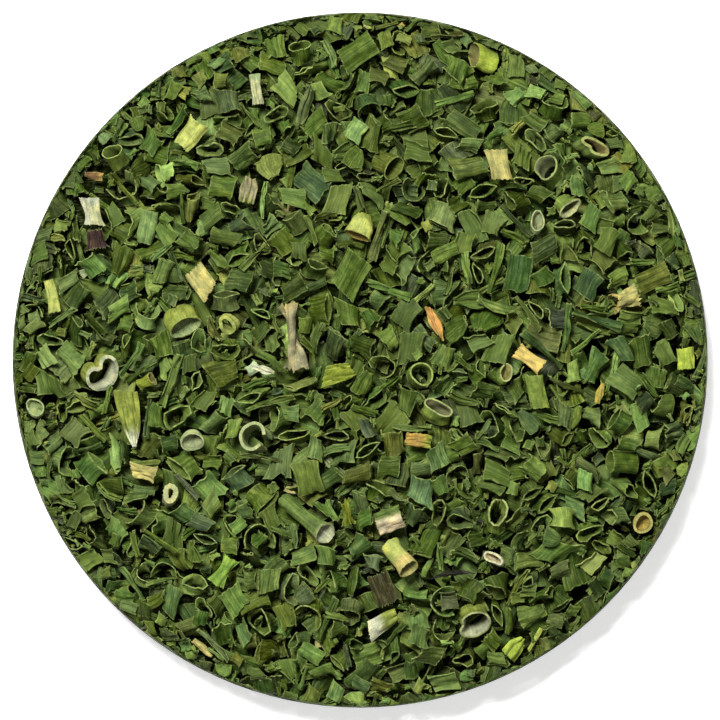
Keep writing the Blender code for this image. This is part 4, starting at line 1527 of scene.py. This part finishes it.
def stalk_piece(node, material):
    """A short bowed rod with ridges along it, frayed towards both ends."""
    low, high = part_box(node)
    path = bpy.data.curves.new(node + "_rod", "CURVE")
    path.dimensions = "3D"
    path.bevel_depth = (high.z - low.z) * 0.5
    path.bevel_resolution = 3
    path.use_fill_caps = True
    line = path.splines.new("POLY")
    line.points.add(STALK_POINTS - 1)
    chance = random.Random(STALK_SEED)
    middle = (low + high) / 2
    turn = Matrix.Translation(middle) @ Matrix.Rotation(math.radians(STALK_HEADING), 4, "Z")
    for index, point in enumerate(line.points):
        share = index / (STALK_POINTS - 1) * 2 - 1
        wobble = chance.uniform(-STALK_WOBBLE, STALK_WOBBLE)
        place = Vector((share * STALK_LENGTH / 2, STALK_BOW * (0.5 - share**2) + wobble, wobble)) * MM
        point.co = (*(turn @ place), 1.0)
        thinned = 1.0 - STALK_TAPER * abs(share) ** STALK_TAPER_POWER
        point.radius = thinned * chance.uniform(*STALK_RIDGES)
    rod = placed(node + "_rod", path)
    bpy.context.view_layer.update()
    graph = bpy.context.evaluated_depsgraph_get()
    mesh = bpy.data.meshes.new_from_object(rod.evaluated_get(graph))
    bpy.data.objects.remove(rod)
    mesh.materials.clear()
    mesh.materials.append(material)
    mesh.shade_smooth()
    return placed(node + "_rod", mesh)


# Lights: name, side (m), power (W) and place (m).
KEY_LIGHT = "key", 0.3, 28.0, (-0.23, 0.44, 1.0)
FILL_LIGHT = "fill", 0.9, 2.6, (0.5, -0.5, 1.0)
AIR_LIGHT = 0.15
FLOOR_HALF = 1.5
FLOOR_DROP = 0.0001
FLOOR_ROUGHNESS = 0.9
FLOOR_GLOW = 0.5

# The camera stands where this half width fills the frame at this height above the ground.
FRAME_HALF_WIDTH = 49.66 * MM
FRAME_HEIGHT = 1.0 * MM
CAMERA_LENS = 500.0
CAMERA_SENSOR = 36.0


class CHIVES_OT_stage(bpy.types.Operator):
    """Make the floor, the light and the camera"""

    bl_idname = "chives.stage"
    bl_label = "Stage"

    def execute(self, context):
        settings = context.scene.chives
        scene = context.scene
        bpy.ops.mesh.primitive_plane_add(size=2 * FLOOR_HALF, location=(0, 0, -FLOOR_DROP))
        floor = context.object
        floor.name = "floor"
        material, tree, shader = shader_tree("pale_floor")
        shader.inputs["Base Color"].default_value = (*settings.floor_colour, 1.0)
        shader.inputs["Roughness"].default_value = FLOOR_ROUGHNESS
        shader.inputs["Emission Color"].default_value = (1.0, 1.0, 1.0, 1.0)
        shader.inputs["Emission Strength"].default_value = FLOOR_GLOW
        floor.data.materials.append(material)
        add_light(*KEY_LIGHT)
        add_light(*FILL_LIGHT)
        scene.world = scene.world or bpy.data.worlds.new("studio")
        scene.world.use_nodes = True
        add_air(scene.world.node_tree)
        camera = bpy.data.cameras.new("camera")
        camera.sensor_width = CAMERA_SENSOR
        camera.lens = CAMERA_LENS
        camera.clip_start, camera.clip_end = 0.01, 10.0
        holder = placed("camera", camera)
        holder.location = (0, 0, FRAME_HEIGHT + FRAME_HALF_WIDTH * CAMERA_LENS / (CAMERA_SENSOR / 2))
        scene.camera = holder
        scene.view_settings.view_transform = "Standard"
        return {"FINISHED"}


def add_air(tree):
    """Dim white light from all round, before a backdrop that looks as white as the floor."""
    air = tree.nodes["Background"]
    air.inputs["Color"].default_value = (1.0, 1.0, 1.0, 1.0)
    rays = tree.nodes.new("ShaderNodeLightPath")
    seen = ranged(tree, rays.outputs["Is Camera Ray"], 0.0, 1.0, AIR_LIGHT, 1.0)
    tree.links.new(seen, air.inputs["Strength"])


def add_light(name, size, power, place):
    """A square soft light that faces the middle of the heap."""
    light = bpy.data.lights.new(name, "AREA")
    light.shape = "SQUARE"
    light.size = size
    light.energy = power
    holder = placed(name, light)
    holder.location = place
    holder.rotation_euler = (-Vector(place)).to_track_quat("-Z", "Y").to_euler()


OPERATORS = (CHIVES_OT_finishes, CHIVES_OT_heroes, CHIVES_OT_stalk, CHIVES_OT_core, CHIVES_OT_slices,
             CHIVES_OT_stage)


class CHIVES_PT_panel(bpy.types.Panel):
    """The heap's steps and settings, in the sidebar"""

    bl_idname = "CHIVES_PT_panel"
    bl_label = "Chives"
    bl_space_type = "VIEW_3D"
    bl_region_type = "UI"
    bl_category = "Chives"

    def draw(self, context):
        for name in ChiveSettings.__annotations__:
            self.layout.prop(context.scene.chives, name)
        for made in OPERATORS:
            self.layout.operator(made.bl_idname)


CLASSES = (ChiveSettings, *OPERATORS, CHIVES_PT_panel)


def register():
    for made in CLASSES:
        bpy.utils.register_class(made)
    bpy.types.Scene.chives = PointerProperty(type=ChiveSettings)


def unregister():
    del bpy.types.Scene.chives
    for made in reversed(CLASSES):
        bpy.utils.unregister_class(made)


def main():
    register()
    bpy.ops.chives.finishes()
    bpy.ops.chives.heroes()
    bpy.ops.chives.stalk()
    bpy.ops.chives.core()
    bpy.ops.chives.slices()
    bpy.ops.chives.stage()


if __name__ == "__main__":
    main()
